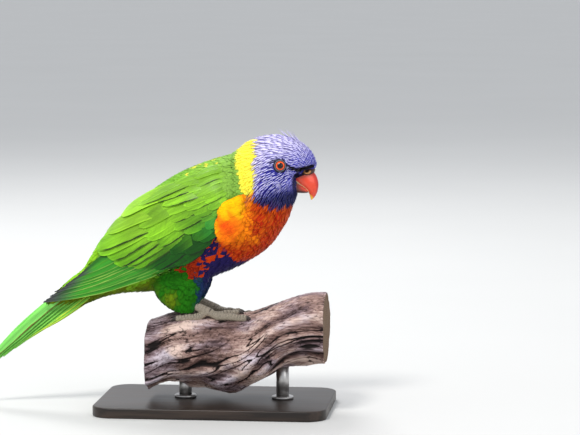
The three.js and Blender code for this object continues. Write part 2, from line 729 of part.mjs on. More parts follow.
const upperBill = billForm(BILL_UPPER, BILL_KEEL).subtract(headRoom);
const upperBillRoom = billForm(BILL_UPPER, BILL_KEEL, GAP);
meshOf("bill_upper", upperBill, "bill", bird);
meshOf("bill_lower", billForm(BILL_LOWER, 0).subtract(headRoom).subtract(upperBillRoom), "bill", bird);
let cere = ball(at(CERE.x, 0, CERE.z), CERE.radii, CERE.tilt);
cere = cere.subtract(headRoom).subtract(upperBillRoom);
for (const side of [RIGHT, LEFT]) {
  cere = cere.subtract(ball(at(NOSTRIL.x, side * NOSTRIL.y, NOSTRIL.z), NOSTRIL.radii, 0, NOSTRIL.cells));
}
meshOf("cere", cere, "cere", bird);

const tail = fuse([tailRoot(), ...tailFeathers(), ...tailCoverts()]).subtract(torsoRoom);
meshOf("tail", tail, "tail", bird);
const tailRoom = fuse([tailRoot(GAP), ...tailFeathers(GAP), ...tailCoverts(GAP)]);

for (const side of [RIGHT, LEFT]) {
  const name = side === RIGHT ? "right" : "left";
  const { centre } = eyePlace(side);
  meshOf(`eye_${name}`, ball(centre, [EYE.radius, EYE.radius, EYE.radius]), "eye", bird);
  const thighRoom = thigh(side, GAP);
  meshOf(`thigh_${name}`, thigh(side).subtract(torsoRoom), "thigh", bird);
  const feathers = WING_TIERS.flatMap((tier) => wingTier(side, tier));
  const wing = fuse([wingCore(side), ...feathers]).subtract(torsoRoom).subtract(tailRoom).subtract(thighRoom);
  meshOf(`wing_${name}`, wing, "wing", bird);
  meshOf(`foot_${name}`, foot(side).subtract(limbRoom).subtract(thighRoom), "foot", bird);
  for (const toe of TOES) {
    meshOf(`claw_${name}_${toe.name}`, claw(side, toe).subtract(limbRoom), "claw", bird);
  }
}

meshOf("perch_limb", limb(), "limb", bird);
meshOf("stand_base", standBase(), "stand", part);
ROD_PLACES.forEach((place, i) => {
  meshOf(`stand_rod_${i + 1}`, standRod(place, limbRoom), "rod", bird);
});

export default part;
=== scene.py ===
"""Looks of a life-size rainbow lorikeet that grips a short cut length of gnarled limb on a display stand.

Shapes are worked out in millimetres in the bird's own frame, whose zero height is the level of the soles.
They turn into metres over the floor when a mesh is made.
"""
import math

import bpy
import numpy as np
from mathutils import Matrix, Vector
from mathutils.bvhtree import BVHTree


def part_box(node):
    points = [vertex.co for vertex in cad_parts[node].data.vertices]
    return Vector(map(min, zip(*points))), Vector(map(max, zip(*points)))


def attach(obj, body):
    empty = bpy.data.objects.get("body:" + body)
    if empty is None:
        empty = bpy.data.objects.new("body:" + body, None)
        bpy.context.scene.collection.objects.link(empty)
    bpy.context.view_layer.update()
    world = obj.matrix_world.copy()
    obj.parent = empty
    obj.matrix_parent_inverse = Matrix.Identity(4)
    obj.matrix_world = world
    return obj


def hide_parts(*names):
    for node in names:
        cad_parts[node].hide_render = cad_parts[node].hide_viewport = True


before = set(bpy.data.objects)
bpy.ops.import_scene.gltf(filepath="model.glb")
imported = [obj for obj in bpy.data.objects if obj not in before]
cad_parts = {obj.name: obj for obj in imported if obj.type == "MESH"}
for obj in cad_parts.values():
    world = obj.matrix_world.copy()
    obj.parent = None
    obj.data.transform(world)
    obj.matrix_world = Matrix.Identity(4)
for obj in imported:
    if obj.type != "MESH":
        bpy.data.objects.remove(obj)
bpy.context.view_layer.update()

MM = 0.001
SOLE_HEIGHT = 72
RIGHT, LEFT = -1, 1
SIDES = {"right": RIGHT, "left": LEFT}

# The body from the rump to the forehead: x and z of the back, x and z of the belly, half width
BODY = np.array([
    [-104, 36, -90, 13, 9], [-92, 56, -72, 17, 15.5], [-76, 76, -48, 19, 22], [-55, 94.5, -22, 23.5, 27],
    [-33, 109.5, 2, 32, 30], [-13, 119, 24, 42, 31], [2, 124, 42, 55, 30], [12, 127, 52.5, 69, 27],
    [18.5, 131.5, 58, 79.5, 24], [26, 137.3, 60.5, 86.5, 21.8], [38.5, 141.2, 62.5, 91.5, 20.3],
    [51.5, 141.3, 63.8, 96, 18.6], [64.5, 137, 64, 101, 15.6], [73.5, 130.3, 66, 106.5, 11.8],
    [78, 122, 70, 111, 7.6], [78.8, 117, 74.5, 114, 3],
])
BODY_ROUND = 2.15
BODY_END = len(BODY) - 1
# The outer face of the folded wings, out to their tips, in the same kind of rows
WING_FORM = np.array([
    [-137, 12.5, -131, 3, 11], [-120, 27, -108, 1, 13], [-104, 43, -86, 7, 15.5], [-89, 62, -64, 13, 20],
    [-71, 82, -42, 16, 26.5], [-50, 99, -18, 21, 31], [-28, 112.5, 8, 30, 33.8], [-9, 120.5, 30, 42, 34],
    [6, 126, 46, 58, 31.5], [16, 130, 56, 76, 26],
])
WING_ROUND = 2.1
FLANK_LIMIT = 0.985  # how near the ridge of the back a form's side face is followed
# The flesh of the wing: section, heights of its lower and upper edges, depth
WING_CORE = np.array([
    [8.3, 0.74, 0.9, 1.6], [7.95, 0.5, 0.96, 4], [7.5, 0.19, 0.985, 6], [6.8, -0.1, 0.985, 8],
    [6.1, -0.34, 0.985, 9], [5.4, -0.46, 0.985, 9], [4.7, -0.53, 0.985, 9], [3.9, -0.55, 0.97, 7],
    [3.2, -0.52, 0.86, 5], [2.6, -0.47, 0.6, 3.4], [2.2, -0.38, 0.34, 2],
])
TAIL_ROOT = np.array([
    [-104, 36, -90, 13, 8.4], [-113, 28.6, -100, 9, 8], [-124, 18.5, -113, 3, 6.6], [-133, 9, -125, -0.5, 4],
])
# The feathered thigh: height, x, half length, half width, distance from the midline
THIGH = np.array([
    [60, -16, 18, 6, 11], [44, -21, 21, 8.5, 12.5], [30, -25, 21.5, 9.5, 13], [19, -26.5, 19.5, 9, 13.5],
    [10, -25, 13, 7.5, 14], [5, -22, 7, 5, 14],
])
COAT_DEPTH = 1.6  # how deep the skin lies under the outline of the body
FACE_DEPTH = 0.7  # and round the bill and the eyes
WING_DEPTH = 1.3  # and under the outer face of the wings
THIGH_DEPTH = 1.6
FACE_LIMIT = 4.2  # half width of the skin inside the base of the bill
BILL_ROOT = (70, 0, 106)
PATCH_SIZE = 0.003  # of each feather on the OFBake map
LEAN = math.tan(math.radians(6))  # markings are placed as seen from a little in front and above


# Numbers

def smooth(t):
    t = np.clip(t, 0, 1)
    return t * t * (3 - 2 * t)


def mix(a, b, t):
    return a + (b - a) * t


def unit(v):
    return v / np.maximum(np.linalg.norm(v, axis=-1, keepdims=True), 1e-9)


def ripple(p, size, seed, waves=7):
    """A smooth, seeded wander between about -1 and 1 over points p, with bumps of about that size."""
    draw = np.random.default_rng(seed)
    heading = unit(draw.normal(size=(waves, 3))) * draw.uniform(0.6, 1.5, (waves, 1)) * 2 * math.pi / size
    turn = draw.uniform(0, 2 * math.pi, waves)
    return np.sin(p @ heading.T + turn).sum(axis=-1) / math.sqrt(waves * 0.9)


def linear(*colour):
    """A colour of 0 to 255 as the eye sees it, in the linear values that the shaders use."""
    c = np.array(colour, float) / 255
    return np.where(c <= 0.04045, c / 12.92, ((c + 0.055) / 1.055) ** 2.4)


def arc(places, s):
    """Points of a curve through three places, at s from 0 to 1."""
    first, middle, last = (np.asarray(place, float) for place in places)
    s = np.asarray(s, float)[..., None]
    return first * (1 - s) * (1 - 2 * s) + middle * 4 * s * (1 - s) + last * s * (2 * s - 1)


def vectors(*parts):
    """Vectors from arrays of their parts, which are spread over one another where they need it."""
    return np.stack(np.broadcast_arrays(*parts), axis=-1)


def circle(count):
    return np.linspace(0, 2 * math.pi, count, endpoint=False)


def distances(line):
    """How far along a line each of its points is."""
    return np.append(0, np.cumsum(np.linalg.norm(np.diff(line, axis=0), axis=1)))


# Forms

def between(table, u):
    """Rows between the rows of a table, on a Catmull-Rom curve."""
    u = np.asarray(u, float)
    last = len(table) - 1
    i = np.clip(np.floor(u).astype(int), 0, last - 1)
    t = (u - i)[..., None]
    a, b, c, d = (table[np.clip(i + k, 0, last)] for k in (-1, 0, 1, 2))
    slope_in, slope_out = (c - a) / 2, (d - b) / 2
    bend = 3 * (c - b) - 2 * slope_in - slope_out
    twist = 2 * (b - c) + slope_in + slope_out
    return b + slope_in * t + bend * t**2 + twist * t**3


def section(form, u):
    row = between(form, u)
    middle = (row[..., 0:2] + row[..., 2:4]) / 2
    up = row[..., 0:2] - row[..., 2:4]
    depth = np.linalg.norm(up, axis=-1) / 2
    return middle, up / (2 * depth[..., None]), depth, row[..., 4]


def upright(middle, up, height, width):
    """Points at a height along the upward line of a section and a width to its side."""
    flat = middle + up * height[..., None]
    return vectors(flat[..., 0], width, flat[..., 1])


def on_ring(form, u, angle, rounding, grow=0.0):
    """Points of a form by section and by angle round it from the back."""
    middle, up, depth, half = section(form, u)
    c, s = np.cos(angle), np.sin(angle)
    height = np.sign(c) * np.abs(c) ** (2 / rounding) * (depth + grow)
    return upright(middle, up, height, np.sign(s) * np.abs(s) ** (2 / rounding) * (half + grow))


def locate(form, x, z):
    """The section of a form that a point of the side view lies on, and its height there from -1 to 1."""
    low, high = np.zeros(np.shape(x)), np.full(np.shape(x), len(form) - 1.0)
    for _ in range(22):
        u = (low + high) / 2
        middle, up, _, _ = section(form, u)
        ahead = (x - middle[..., 0]) * up[..., 1] - (z - middle[..., 1]) * up[..., 0] > 0
        low, high = np.where(ahead, u, low), np.where(ahead, high, u)
    middle, up, depth, _ = section(form, low)
    height = ((x - middle[..., 0]) * up[..., 0] + (z - middle[..., 1]) * up[..., 1]) / depth
    return low, height


def side_width(form, rounding, x, z):
    u, height = locate(form, x, z)
    half = section(form, u)[3]
    limited = np.minimum(np.abs(height), FLANK_LIMIT)
    return half * (1 - limited**rounding) ** (1 / rounding)


def on_side(form, rounding, side, x, z, lift):
    """Points over a form's side face at places of the side view, and the outward normals there."""
    step = 0.6
    y = side_width(form, rounding, x, z)
    slope_x = (side_width(form, rounding, x + step, z) - y) / step
    slope_z = (side_width(form, rounding, x, z + step) - y) / step
    normal = unit(vectors(-slope_x, side, -slope_z))
    return vectors(x, side * y, z) + normal * np.asarray(lift)[..., None], normal


# Meshes

def placed(name, data):
    """A new object in the scene."""
    made = bpy.data.objects.new(name, data)
    bpy.context.collection.objects.link(made)
    return made


def new_object(name, points, faces, colours=None, maps=None):
    """A mesh piece from points in millimetres and groups of faces, each an array of corner numbers."""
    groups = [np.asarray(group, np.int32) for group in faces]
    mesh = bpy.data.meshes.new(name)
    at = (np.asarray(points, float) + (0, 0, SOLE_HEIGHT)) * MM
    corners = np.concatenate([group.ravel() for group in groups])
    sizes = np.concatenate([np.full(len(group), group.shape[1]) for group in groups])
    mesh.vertices.add(len(at))
    mesh.vertices.foreach_set("co", at.ravel())
    mesh.loops.add(len(corners))
    mesh.loops.foreach_set("vertex_index", corners)
    mesh.polygons.add(len(sizes))
    mesh.polygons.foreach_set("loop_start", (np.cumsum(sizes) - sizes).astype(np.int32))
    mesh.update(calc_edges=True)
    mesh.polygons.foreach_set("use_smooth", np.ones(len(sizes), bool))
    for label, values in (maps or {}).items():
        mesh.uv_layers.new(name=label).data.foreach_set("uv", values[corners].ravel())
    paint(mesh, colours or {})
    return placed(name, mesh)


def paint(mesh, colours):
    """Adds colours to a mesh's points, each under its own label."""
    for label, values in colours.items():
        layer = mesh.color_attributes.new(label, "FLOAT_COLOR", "POINT")
        full = np.ones((len(mesh.vertices), 4))
        full[:, :3] = values
        layer.data.foreach_set("color", full.ravel())
    mesh.update()


def finished(piece, finish, replaced=()):
    """Gives a piece its material and its body, and hides the parts that it replaces."""
    piece.data.materials.clear()
    piece.data.materials.append(finish)
    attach(piece, "root")
    if replaced:
        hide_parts(*replaced)
    return piece


def add_piece(name, shape, finish, replaced, colours=None, maps=None):
    finished(new_object(name, *shape, colours, maps), finish, replaced)


def lofted(rings):
    """Points and faces of a closed form through rings, an array of rows by sides by 3."""
    rows, sides = rings.shape[:2]
    grid = np.arange(rows * sides).reshape(rows, sides)
    ahead = np.roll(grid, -1, axis=1)
    walls = np.stack([grid[:-1], ahead[:-1], ahead[1:], grid[1:]], axis=-1).reshape(-1, 4)
    first, last = rows * sides, rows * sides + 1
    caps = np.concatenate([
        np.stack([ahead[0], grid[0], np.full(sides, first)], axis=-1),
        np.stack([grid[-1], ahead[-1], np.full(sides, last)], axis=-1),
    ])
    points = np.vstack([rings.reshape(-1, 3), rings[0].mean(axis=0), rings[-1].mean(axis=0)])
    corner, beside, beyond = (points[walls[:, k]] for k in (0, 1, 3))
    facing = (np.cross(beside - corner, beyond - corner) * (corner - points.mean(axis=0))).sum()
    turn = 1 if facing > 0 else -1
    return points, [walls[:, ::turn], caps[:, ::turn]]


def capped(values):
    """Values of the points of rings, then those of the middles of the two ends."""
    return np.vstack([values.reshape(-1, values.shape[-1]), values[0, :1], values[-1, :1]])


def joined(parts):
    """Several meshes as one, each a pair of points and groups of faces."""
    points, groups, count = [], [], 0
    for part_points, part_groups in parts:
        points.append(part_points)
        groups += [group + count for group in part_groups]
        count += len(part_points)
    return np.vstack(points), groups


def tube(line, radii, sides):
    """A closed tube round a line of points, each with its radius or its radii across and upright."""
    run = unit(np.gradient(line, axis=0))
    across = unit(np.cross((0.0, 0.0, 1.0), run))
    up = np.cross(run, across)
    wide, tall = np.broadcast_to(radii.T, (2, len(line)))[..., None]
    round_it = across[:, None] * (wide * np.cos(circle(sides)))[..., None]
    return lofted(line[:, None] + round_it + up[:, None] * (tall * np.sin(circle(sides)))[..., None])


def remeshed(name, parts, voxel, smoothing):
    """One closed surface over several closed forms that overlap."""
    rough = new_object(name + "_rough", *joined(parts))
    join = rough.modifiers.new("join", "REMESH")
    join.mode = "VOXEL"
    join.voxel_size = voxel * MM
    ease = rough.modifiers.new("ease", "SMOOTH")
    ease.factor = 0.5
    ease.iterations = smoothing
    graph = bpy.context.evaluated_depsgraph_get()
    mesh = bpy.data.meshes.new_from_object(rough.evaluated_get(graph))
    bpy.data.objects.remove(rough)
    piece = placed(name, mesh)
    mesh.name = name
    mesh.polygons.foreach_set("use_smooth", np.ones(len(mesh.polygons), bool))
    return piece


def vertex_values(mesh, label):
    values = np.zeros(len(mesh.vertices) * 3)
    mesh.vertices.foreach_get(label, values)
    return values.reshape(-1, 3)


def mesh_points(mesh):
    return vertex_values(mesh, "co") / MM - (0, 0, SOLE_HEIGHT)


def move_points(mesh, points):
    mesh.vertices.foreach_set("co", ((points + (0, 0, SOLE_HEIGHT)) * MM).ravel())
    mesh.update()


# Shader nodes

def operation(kind, swapped=False):
    """A method that adds the node for one kind of arithmetic."""
    def made(self, *others):
        inputs = (*others, self) if swapped else (self, *others)
        return self.finish.node("Math", {"operation": kind}, *inputs)
    return made


class Worth:
    """A socket of a shader. Arithmetic on it adds the nodes that work it out."""

    def __init__(self, finish, socket):
        self.finish, self.socket = finish, socket

    __add__ = __radd__ = operation("ADD")
    __mul__ = __rmul__ = operation("MULTIPLY")
    __sub__, __rsub__ = operation("SUBTRACT"), operation("SUBTRACT", swapped=True)
    __truediv__ = operation("DIVIDE")
    __abs__ = operation("ABSOLUTE")
    sine = operation("SINE")
    greatest = operation("MAXIMUM")

    def between(self, low, high):
        """0 below low and 1 above high, and smooth from one to the other."""
        return self.finish.node("MapRange", {"interpolation_type": "SMOOTHSTEP"}, self, low, high)

    def part(self, name):
        """One part of a colour or a vector."""
        kind = "SeparateColor" if name in ("Red", "Green", "Blue") else "SeparateXYZ"
        return self.finish.node(kind, {}, self, out=name)


class Finish:
    """A material, built node by node."""

    def __init__(self, name, **shader):
        self.material = bpy.data.materials.new(name)
        self.material.use_nodes = True
        self.tree = self.material.node_tree
        self.shader = next(n for n in self.tree.nodes if n.type == "BSDF_PRINCIPLED")
        for socket, value in shader.items():
            self.shader.inputs[socket.replace("_", " ")].default_value = value

    def node(self, kind, settings=None, *values, out=0, **named):
        """Adds a shader node, sets it up, feeds its sockets in order or by name, and gives one output."""
        made = self.tree.nodes.new("ShaderNode" + kind)
        for label, value in (settings or {}).items():
            if label == "stops":
                ramp = made.color_ramp
                while len(ramp.elements) < len(value):
                    ramp.elements.new(1.0)
                for element, (place, colour) in zip(ramp.elements, value):
                    element.position = place
                    element.color = (*colour, 1.0)
            else:
                setattr(made, label, value)
        free = [s for s in made.inputs if s.enabled]
        pairs = list(zip(free, values))
        pairs += [(next(s for s in free if s.name == k.replace("_", " ")), v) for k, v in named.items()]
        for socket, value in pairs:
            self.feed(socket, value)
        outputs = [s for s in made.outputs if s.enabled]
        chosen = outputs[out] if isinstance(out, int) else next(s for s in outputs if s.name == out)
        return Worth(self, chosen)

    def feed(self, socket, value):
        if isinstance(value, Worth):
            self.tree.links.new(value.socket, socket)
        elif np.ndim(value) == 1 and len(socket.default_value) > len(value):
            socket.default_value = [*value, 1.0]
        else:
            socket.default_value = value

    def blend(self, factor, first, second):
        """A colour between two colours."""
        return self.node("Mix", {"data_type": "RGBA"}, factor, first, second)

    def tint(self, first, second):
        return self.node("Mix", {"data_type": "RGBA", "blend_type": "MULTIPLY"}, 1.0, first, second)

    def shade(self, colour, value):
        """A colour made lighter or darker by a number."""
        return self.tint(colour, self.node("CombineXYZ", {}, value, value, value))

    def attribute(self, name):
        return self.node("Attribute", {"attribute_type": "GEOMETRY", "attribute_name": name}, out="Color")

    def uv(self, name):
        return self.node("UVMap", {"uv_map": name})

    def place(self):
        return self.node("TexCoord", {}, out="Object")

    def stretched(self, x, y, z):
        """The place on the object, drawn out along an axis where its number is smaller."""
        return self.node("VectorMath", {"operation": "MULTIPLY"}, self.place(), (x, y, z))

    def noise(self, vector, scale, detail=3.0, rough=0.5):
        return self.node("TexNoise", {}, Vector=vector, Scale=scale, Detail=detail, Roughness=rough)

    def cloud(self, x, y, z, detail=2.0):
        """Noise over a place worked out from numbers."""
        return self.noise(self.node("CombineXYZ", {}, x, y, z), 1.0, detail)

    def bump(self, height, strength, distance):
        made = self.node("Bump", {}, Strength=strength, Distance=distance, Height=height, out="Normal")
        self.set(Normal=made)

    def set(self, **sockets):
        for label, value in sockets.items():
            self.feed(self.shader.inputs[label.replace("_", " ")], value)
        return self.material


def vane_finish(name, **shader):
    """A material for vanes: the place across one and along it, the distance from its shaft, and its marks.

    Plumage, Edging and Shaft hold colours. Marks holds the strength of the shaft's line and of the edge,
    and a number drawn for each feather. The Vane map runs across each vane and along it.
    """
    f = Finish(name, **shader)
    vane, marks = f.uv("Vane"), f.attribute("Marks")
    across = vane.part("X")
    return f, across, vane.part("Y"), abs(across * 2 - 1), [marks.part(k) for k in ("Red", "Green", "Blue")]


def coat_finish(name, barbs, shaft_wide, roughness, sheen):
    """Small feathers with a streak along the shaft, an edge, fine barbs and painted shade towards the root.
    """
    f, across, along, off_shaft, (streaked, edged, own) = vane_finish(
        name, Roughness=roughness, Sheen_Weight=sheen, Sheen_Roughness=0.5, Specular_IOR_Level=0.06,
    )
    barb = f.cloud(across * barbs + own * 37, along * (barbs * 0.16), own * 91)
    rim = off_shaft.greatest((along - 0.62) / 0.38) + (barb - 0.5) * 0.6
    colour = f.blend(rim.between(0.6, 1.05) * edged, f.attribute("Plumage"), f.attribute("Edging"))
    streak = 1 - (off_shaft + (barb - 0.5) * 0.25).between(shaft_wide * 0.35, shaft_wide)
    colour = f.blend(streak * along.between(0.1, 0.35) * streaked, colour, f.attribute("Shaft"))
    f.bump(barb + (1 - off_shaft.between(0.0, 0.15)) * 0.4, 0.3, 0.0003)
    strand = f.cloud(across * 4 + own * 29, along * 1.2, own * 7)
    tone = barb.between(0.25, 0.75) * 0.28 + strand.between(0.3, 0.7) * 0.22 + 0.76
    # Each vane darkens towards its root: painted shade where other feathers lie over it.
    return f.set(Base_Color=f.shade(colour, tone * (along.between(0.0, 0.4) * 0.6 + 0.4)))


def flight_finish(name, roughness, trailing, pale_rim=0.0):
    """Long vanes with a raised shaft, slanting barbs, a line along the leading edge and a dark inner web; a
    trailing below 0 lightens that side instead, as a painted highlight.
    """
    f, across, along, off_shaft, (lined, edged, own) = vane_finish(
        name, Roughness=roughness, Sheen_Weight=0.04, Sheen_Roughness=0.4, Specular_IOR_Level=0.24,
    )
    barb = f.cloud(along * 110 + off_shaft * -16 + own * 53, off_shaft * 0.7, own * 17)
    # Below 0, trailing lightens this side of the vane instead: a painted highlight.
    base = f.shade(f.attribute("Plumage"), 1 - (1 - across.between(0.2, 0.5)) * trailing)
    rim = off_shaft.greatest((along - 0.72) / 0.28).between(0.75, 0.97)
    base = f.shade(base, rim * pale_rim + 1)
    ragged = f.cloud(along * 6 + own * 31, own * 7, 0.0, 1.0)
    edge = (across + (ragged - 0.5) * 0.22).between(0.9, 0.95) * edged
    if pale_rim:
        edge = edge * along.between(0.2, 0.45) * (1 - along.between(0.85, 0.98))
    colour = f.blend(edge, base, f.attribute("Edging"))
    shaft = (1 - off_shaft.between(0.04, 0.12)) * (1 - along.between(0.8, 1.0))
    colour = f.blend(shaft * lined, colour, f.attribute("Shaft"))
    f.bump(barb * 0.5 + shaft, 0.35, 0.00025)
    strand = f.cloud(across * 5 + own * 41, along * 2.2, own * 13)
    tone = barb.between(0.2, 0.8) * 0.3 + strand.between(0.3, 0.7) * 0.3 + 0.73
    return f.set(Base_Color=f.shade(colour, tone))


# Colours of the plumage

CROWN = linear(176, 168, 228)
BLUE = linear(70, 70, 200)
CHEEK = linear(36, 38, 164)
THROAT = linear(9, 16, 80)
NAPE = linear(132, 114, 186)
MASK = linear(18, 15, 30)
THROAT_VIOLET = linear(66, 26, 92)
STREAK = linear(240, 236, 255)
COLLAR = linear(248, 232, 62)
COLLAR_SHAFT = linear(255, 252, 130)
COLLAR_MURK = linear(96, 74, 84)
GREY_GREEN = linear(126, 170, 70)
MANTLE = linear(124, 174, 46)
WING_GREEN = linear(94, 160, 14)
WING_PALE_AND_HIGHLIGHT = linear(156, 198, 50)
SHOULDER = linear(36, 122, 20)
PAINTED_SHADE_GREEN = linear(8, 74, 0)
EMERALD = linear(24, 116, 48)
PRIMARY = linear(52, 138, 32)
DUSKY = linear(62, 66, 66)
EDGE_LINE = linear(150, 190, 80)
WING_GAP_SHADE = linear(10, 22, 10)
FLECK = linear(240, 214, 60)
AMBER = linear(252, 188, 8)
ORANGE = linear(246, 128, 12)
EMBER = linear(230, 76, 14)
SCARLET = linear(180, 38, 9)
RUST = linear(112, 20, 8)
BELLY = linear(34, 26, 80)
BELLY_BLUE = linear(22, 46, 82)
VENT = linear(94, 110, 8)
THIGH_GREEN = linear(28, 98, 8)
FLANK = linear(160, 44, 12)
RUMP = linear(134, 196, 34)
TAIL_GREEN = linear(112, 192, 84)
TAIL_YELLOW = linear(206, 216, 60)
TAIL_SHADE_BROWN = linear(104, 62, 22)

EYE_ROOM = 4.6  # no feather is rooted nearer to an eye's line of sight
EYE_PLACE, EYE_LOOK = {}, {}
for side_name, side in SIDES.items():
    low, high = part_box("eye_" + side_name)
    middle = (Vector(low) + Vector(high)) / 2 / MM
    EYE_PLACE[side] = np.array([middle.x, middle.y, middle.z - SOLE_HEIGHT])
    EYE_RADIUS = (high[2] - low[2]) / 2 / MM
    EYE_LOOK[side] = np.array([0.0, side, 0.0])
    for _ in range(5):
        rim = EYE_PLACE[side] + EYE_LOOK[side] * 3.4
        EYE_LOOK[side] = on_side(BODY, BODY_ROUND, side, rim[0:1], rim[2:3], np.zeros(1))[1][0]


def off_eye(p, side):
    """The way to points from the line that an eye looks along, and how far they are from it."""
    off = p - EYE_PLACE[side]
    ahead = off @ EYE_LOOK[side]
    off = off - ahead[:, None] * EYE_LOOK[side]
    return off, np.where(ahead > -6, np.linalg.norm(off, axis=1), 99.0)


def near_line(p, line):
    """Distance of points, as seen from the side, from a line through places of the view."""
    line = np.asarray(line, float)
    start, run = line[:-1], np.diff(line, axis=0)
    off = vectors(*seen(p))[:, None] - start
    t = np.clip((off * run).sum(axis=-1) / (run**2).sum(axis=-1), 0, 1)
    return np.linalg.norm(off - run * t[..., None], axis=-1).min(axis=1)


def laid(base, colour, amount):
    """base with a colour laid over it by amounts of 0 to 1."""
    return mix(np.asarray(base), np.asarray(colour), np.asarray(amount)[..., None])


def seen(p):
    """Places of points in a view from a little in front and above, alike for both sides."""
    near = np.abs(p[:, 1]) * LEAN
    return p[:, 0] - near, p[:, 2] - near


def head_share(p):
    """How surely points belong to the blue head, in front of the collar and above the throat's edge."""
    x, z = seen(p)
    wander = ripple(p, 7, 3) * 0.8
    nape = smooth((x + wander - 28.6) / 1.4)
    throat_edge = np.interp(x, [22, 27, 31, 36, 44, 51, 60], [98, 91, 86.5, 82.5, 81.4, 82.4, 86])
    return nape * smooth((z + wander - throat_edge) / 1.8)


def collar_share(p):
    x, z = seen(p)
    wander = ripple(p, 6, 5) * 0.8
    rear = np.interp(z, [93, 98.7, 105, 118, 131, 140], [22.5, 20, 17.5, 15.2, 17.2, 21])
    return smooth((x - rear + wander) / 1.6) * smooth((z - 92.5 + wander) / 3)


def breast_share(p):
    """How surely points belong to the orange breast rather than the belly or the mantle."""
    x, z = seen(p)
    wander = ripple(p, 9, 7) * 1.4
    rear = np.interp(z, [30, 52, 58, 71, 84.5, 89.5, 93], [14, 0, 3, 1, 3.5, 11, 24])
    lower = np.interp(x, [-10, 4, 12, 20, 32], [62, 56, 48.5, 43.5, 43])
    return smooth((x - rear + wander) / 2) * smooth((z - lower + wander) / 3)


# Dark streaks of the face, as places of the view: from the eye to the cere, beside the bill, then behind
# and under the eye. Each has its reach and its strength
DARK_LINES = [
    ([[53, 117.2], [56, 115.4], [59, 114.6], [64, 113.8], [68.5, 115.4], [75, 117.2]], 2.1, 1.0),
    ([[64, 113.8], [62, 109]], 1.5, 0.8),
    ([[46.5, 121.6], [43.4, 119.4]], 1.9, 0.75),
    ([[47.5, 112.6], [52, 112.4], [56, 114]], 1.5, 0.7),
]


def head_colours(p, draw):
    """The blue head: paler on the crown, navy on the throat, black between the bill and the eye."""
    x, z = seen(p)
    rise = smooth((z - 113 - 0.3 * (x - 50)) / 20)
    head = laid(CHEEK, BLUE, smooth((x - 44) / 20))
    head = laid(head, CROWN, rise * smooth((80 - x) / 14))
    head = laid(head, NAPE, smooth((40 - x) / 12) * 0.5)
    head = laid(head, THROAT, smooth((104 - z + 0.3 * (x - 50)) / 13))
    head = laid(head, THROAT_VIOLET, smooth((90 - z) / 6) * smooth((54 - x) / 14) * 0.7)
    head = head * (1 + 0.14 * draw)[:, None]
    streak = 0.84 + 0.16 * rise - 0.78 * smooth((106 - z + 0.28 * (x - 50)) / 14)
    streak = streak * (1 - 0.42 * smooth((x - 52) / 12) * smooth((122 - z) / 12))
    dark = 0 * x
    for line, reach, strength in DARK_LINES:
        dark = np.maximum(dark, smooth((reach - near_line(p, line)) / 1.1) * strength)
    for side in (RIGHT, LEFT):
        dark = np.maximum(dark, smooth((5.6 - off_eye(p, side)[1]) / 0.9) * 0.5)
    dark = dark * (np.abs(p[:, 1]) > 3)
    return laid(head, MASK, dark), np.clip(streak * (1 - dark), 0, 1)


def breast_colours(p, draw):
    """Amber beside the wing, orange, then scarlet in front, each feather edged with rust."""
    x, z = seen(p)
    front = smooth((x - 10 + ripple(p, 14, 23) * 4) / 27)
    wander = ripple(p, 10, 29) * 1.5
    yellow = smooth((z - 74 + wander) / 9) * smooth((28 - x + wander) / 11)
    breast = laid(ORANGE, AMBER, np.maximum(yellow, 0.8 * smooth((4.5 - x + wander) / 3)))
    breast = laid(breast, EMBER, np.exp(-(((x - 9) / 7) ** 2 + ((z - 69) / 6) ** 2)))
    breast = laid(breast, SCARLET, smooth((front - 0.5) * 1.7 + 0.14 * draw[:, 1]))
    breast = laid(breast, SCARLET, 0.95 * smooth((65 - z + wander) / 13))
    breast = breast * (1 + 0.08 * draw[:, 2:3])
    rusty = np.maximum(smooth((front - 0.2) * 2.5), smooth((66 - z) / 10))
    return breast, laid(RUST, breast * 0.72, 1 - rusty * 0.9)


def below_share(p):
    """How surely points belong to the belly and the vent rather than the back."""
    x, z = seen(p)
    edge = np.interp(x, [-104, -60, -30, -8, 8, 30], [22, 26, 42, 56, 72, 80])
    return smooth((edge - z + ripple(p, 8, 13) * 2) / 4)


def zone(p):
    """The stretch of the coat that points belong to."""
    shares = [breast_share(p), collar_share(p), head_share(p)]
    found = np.where(below_share(p) > 0.5, "belly", "back")
    for name, share in zip(("breast", "collar", "head"), shares):
        found = np.where(share > 0.5, name, found)
    return found


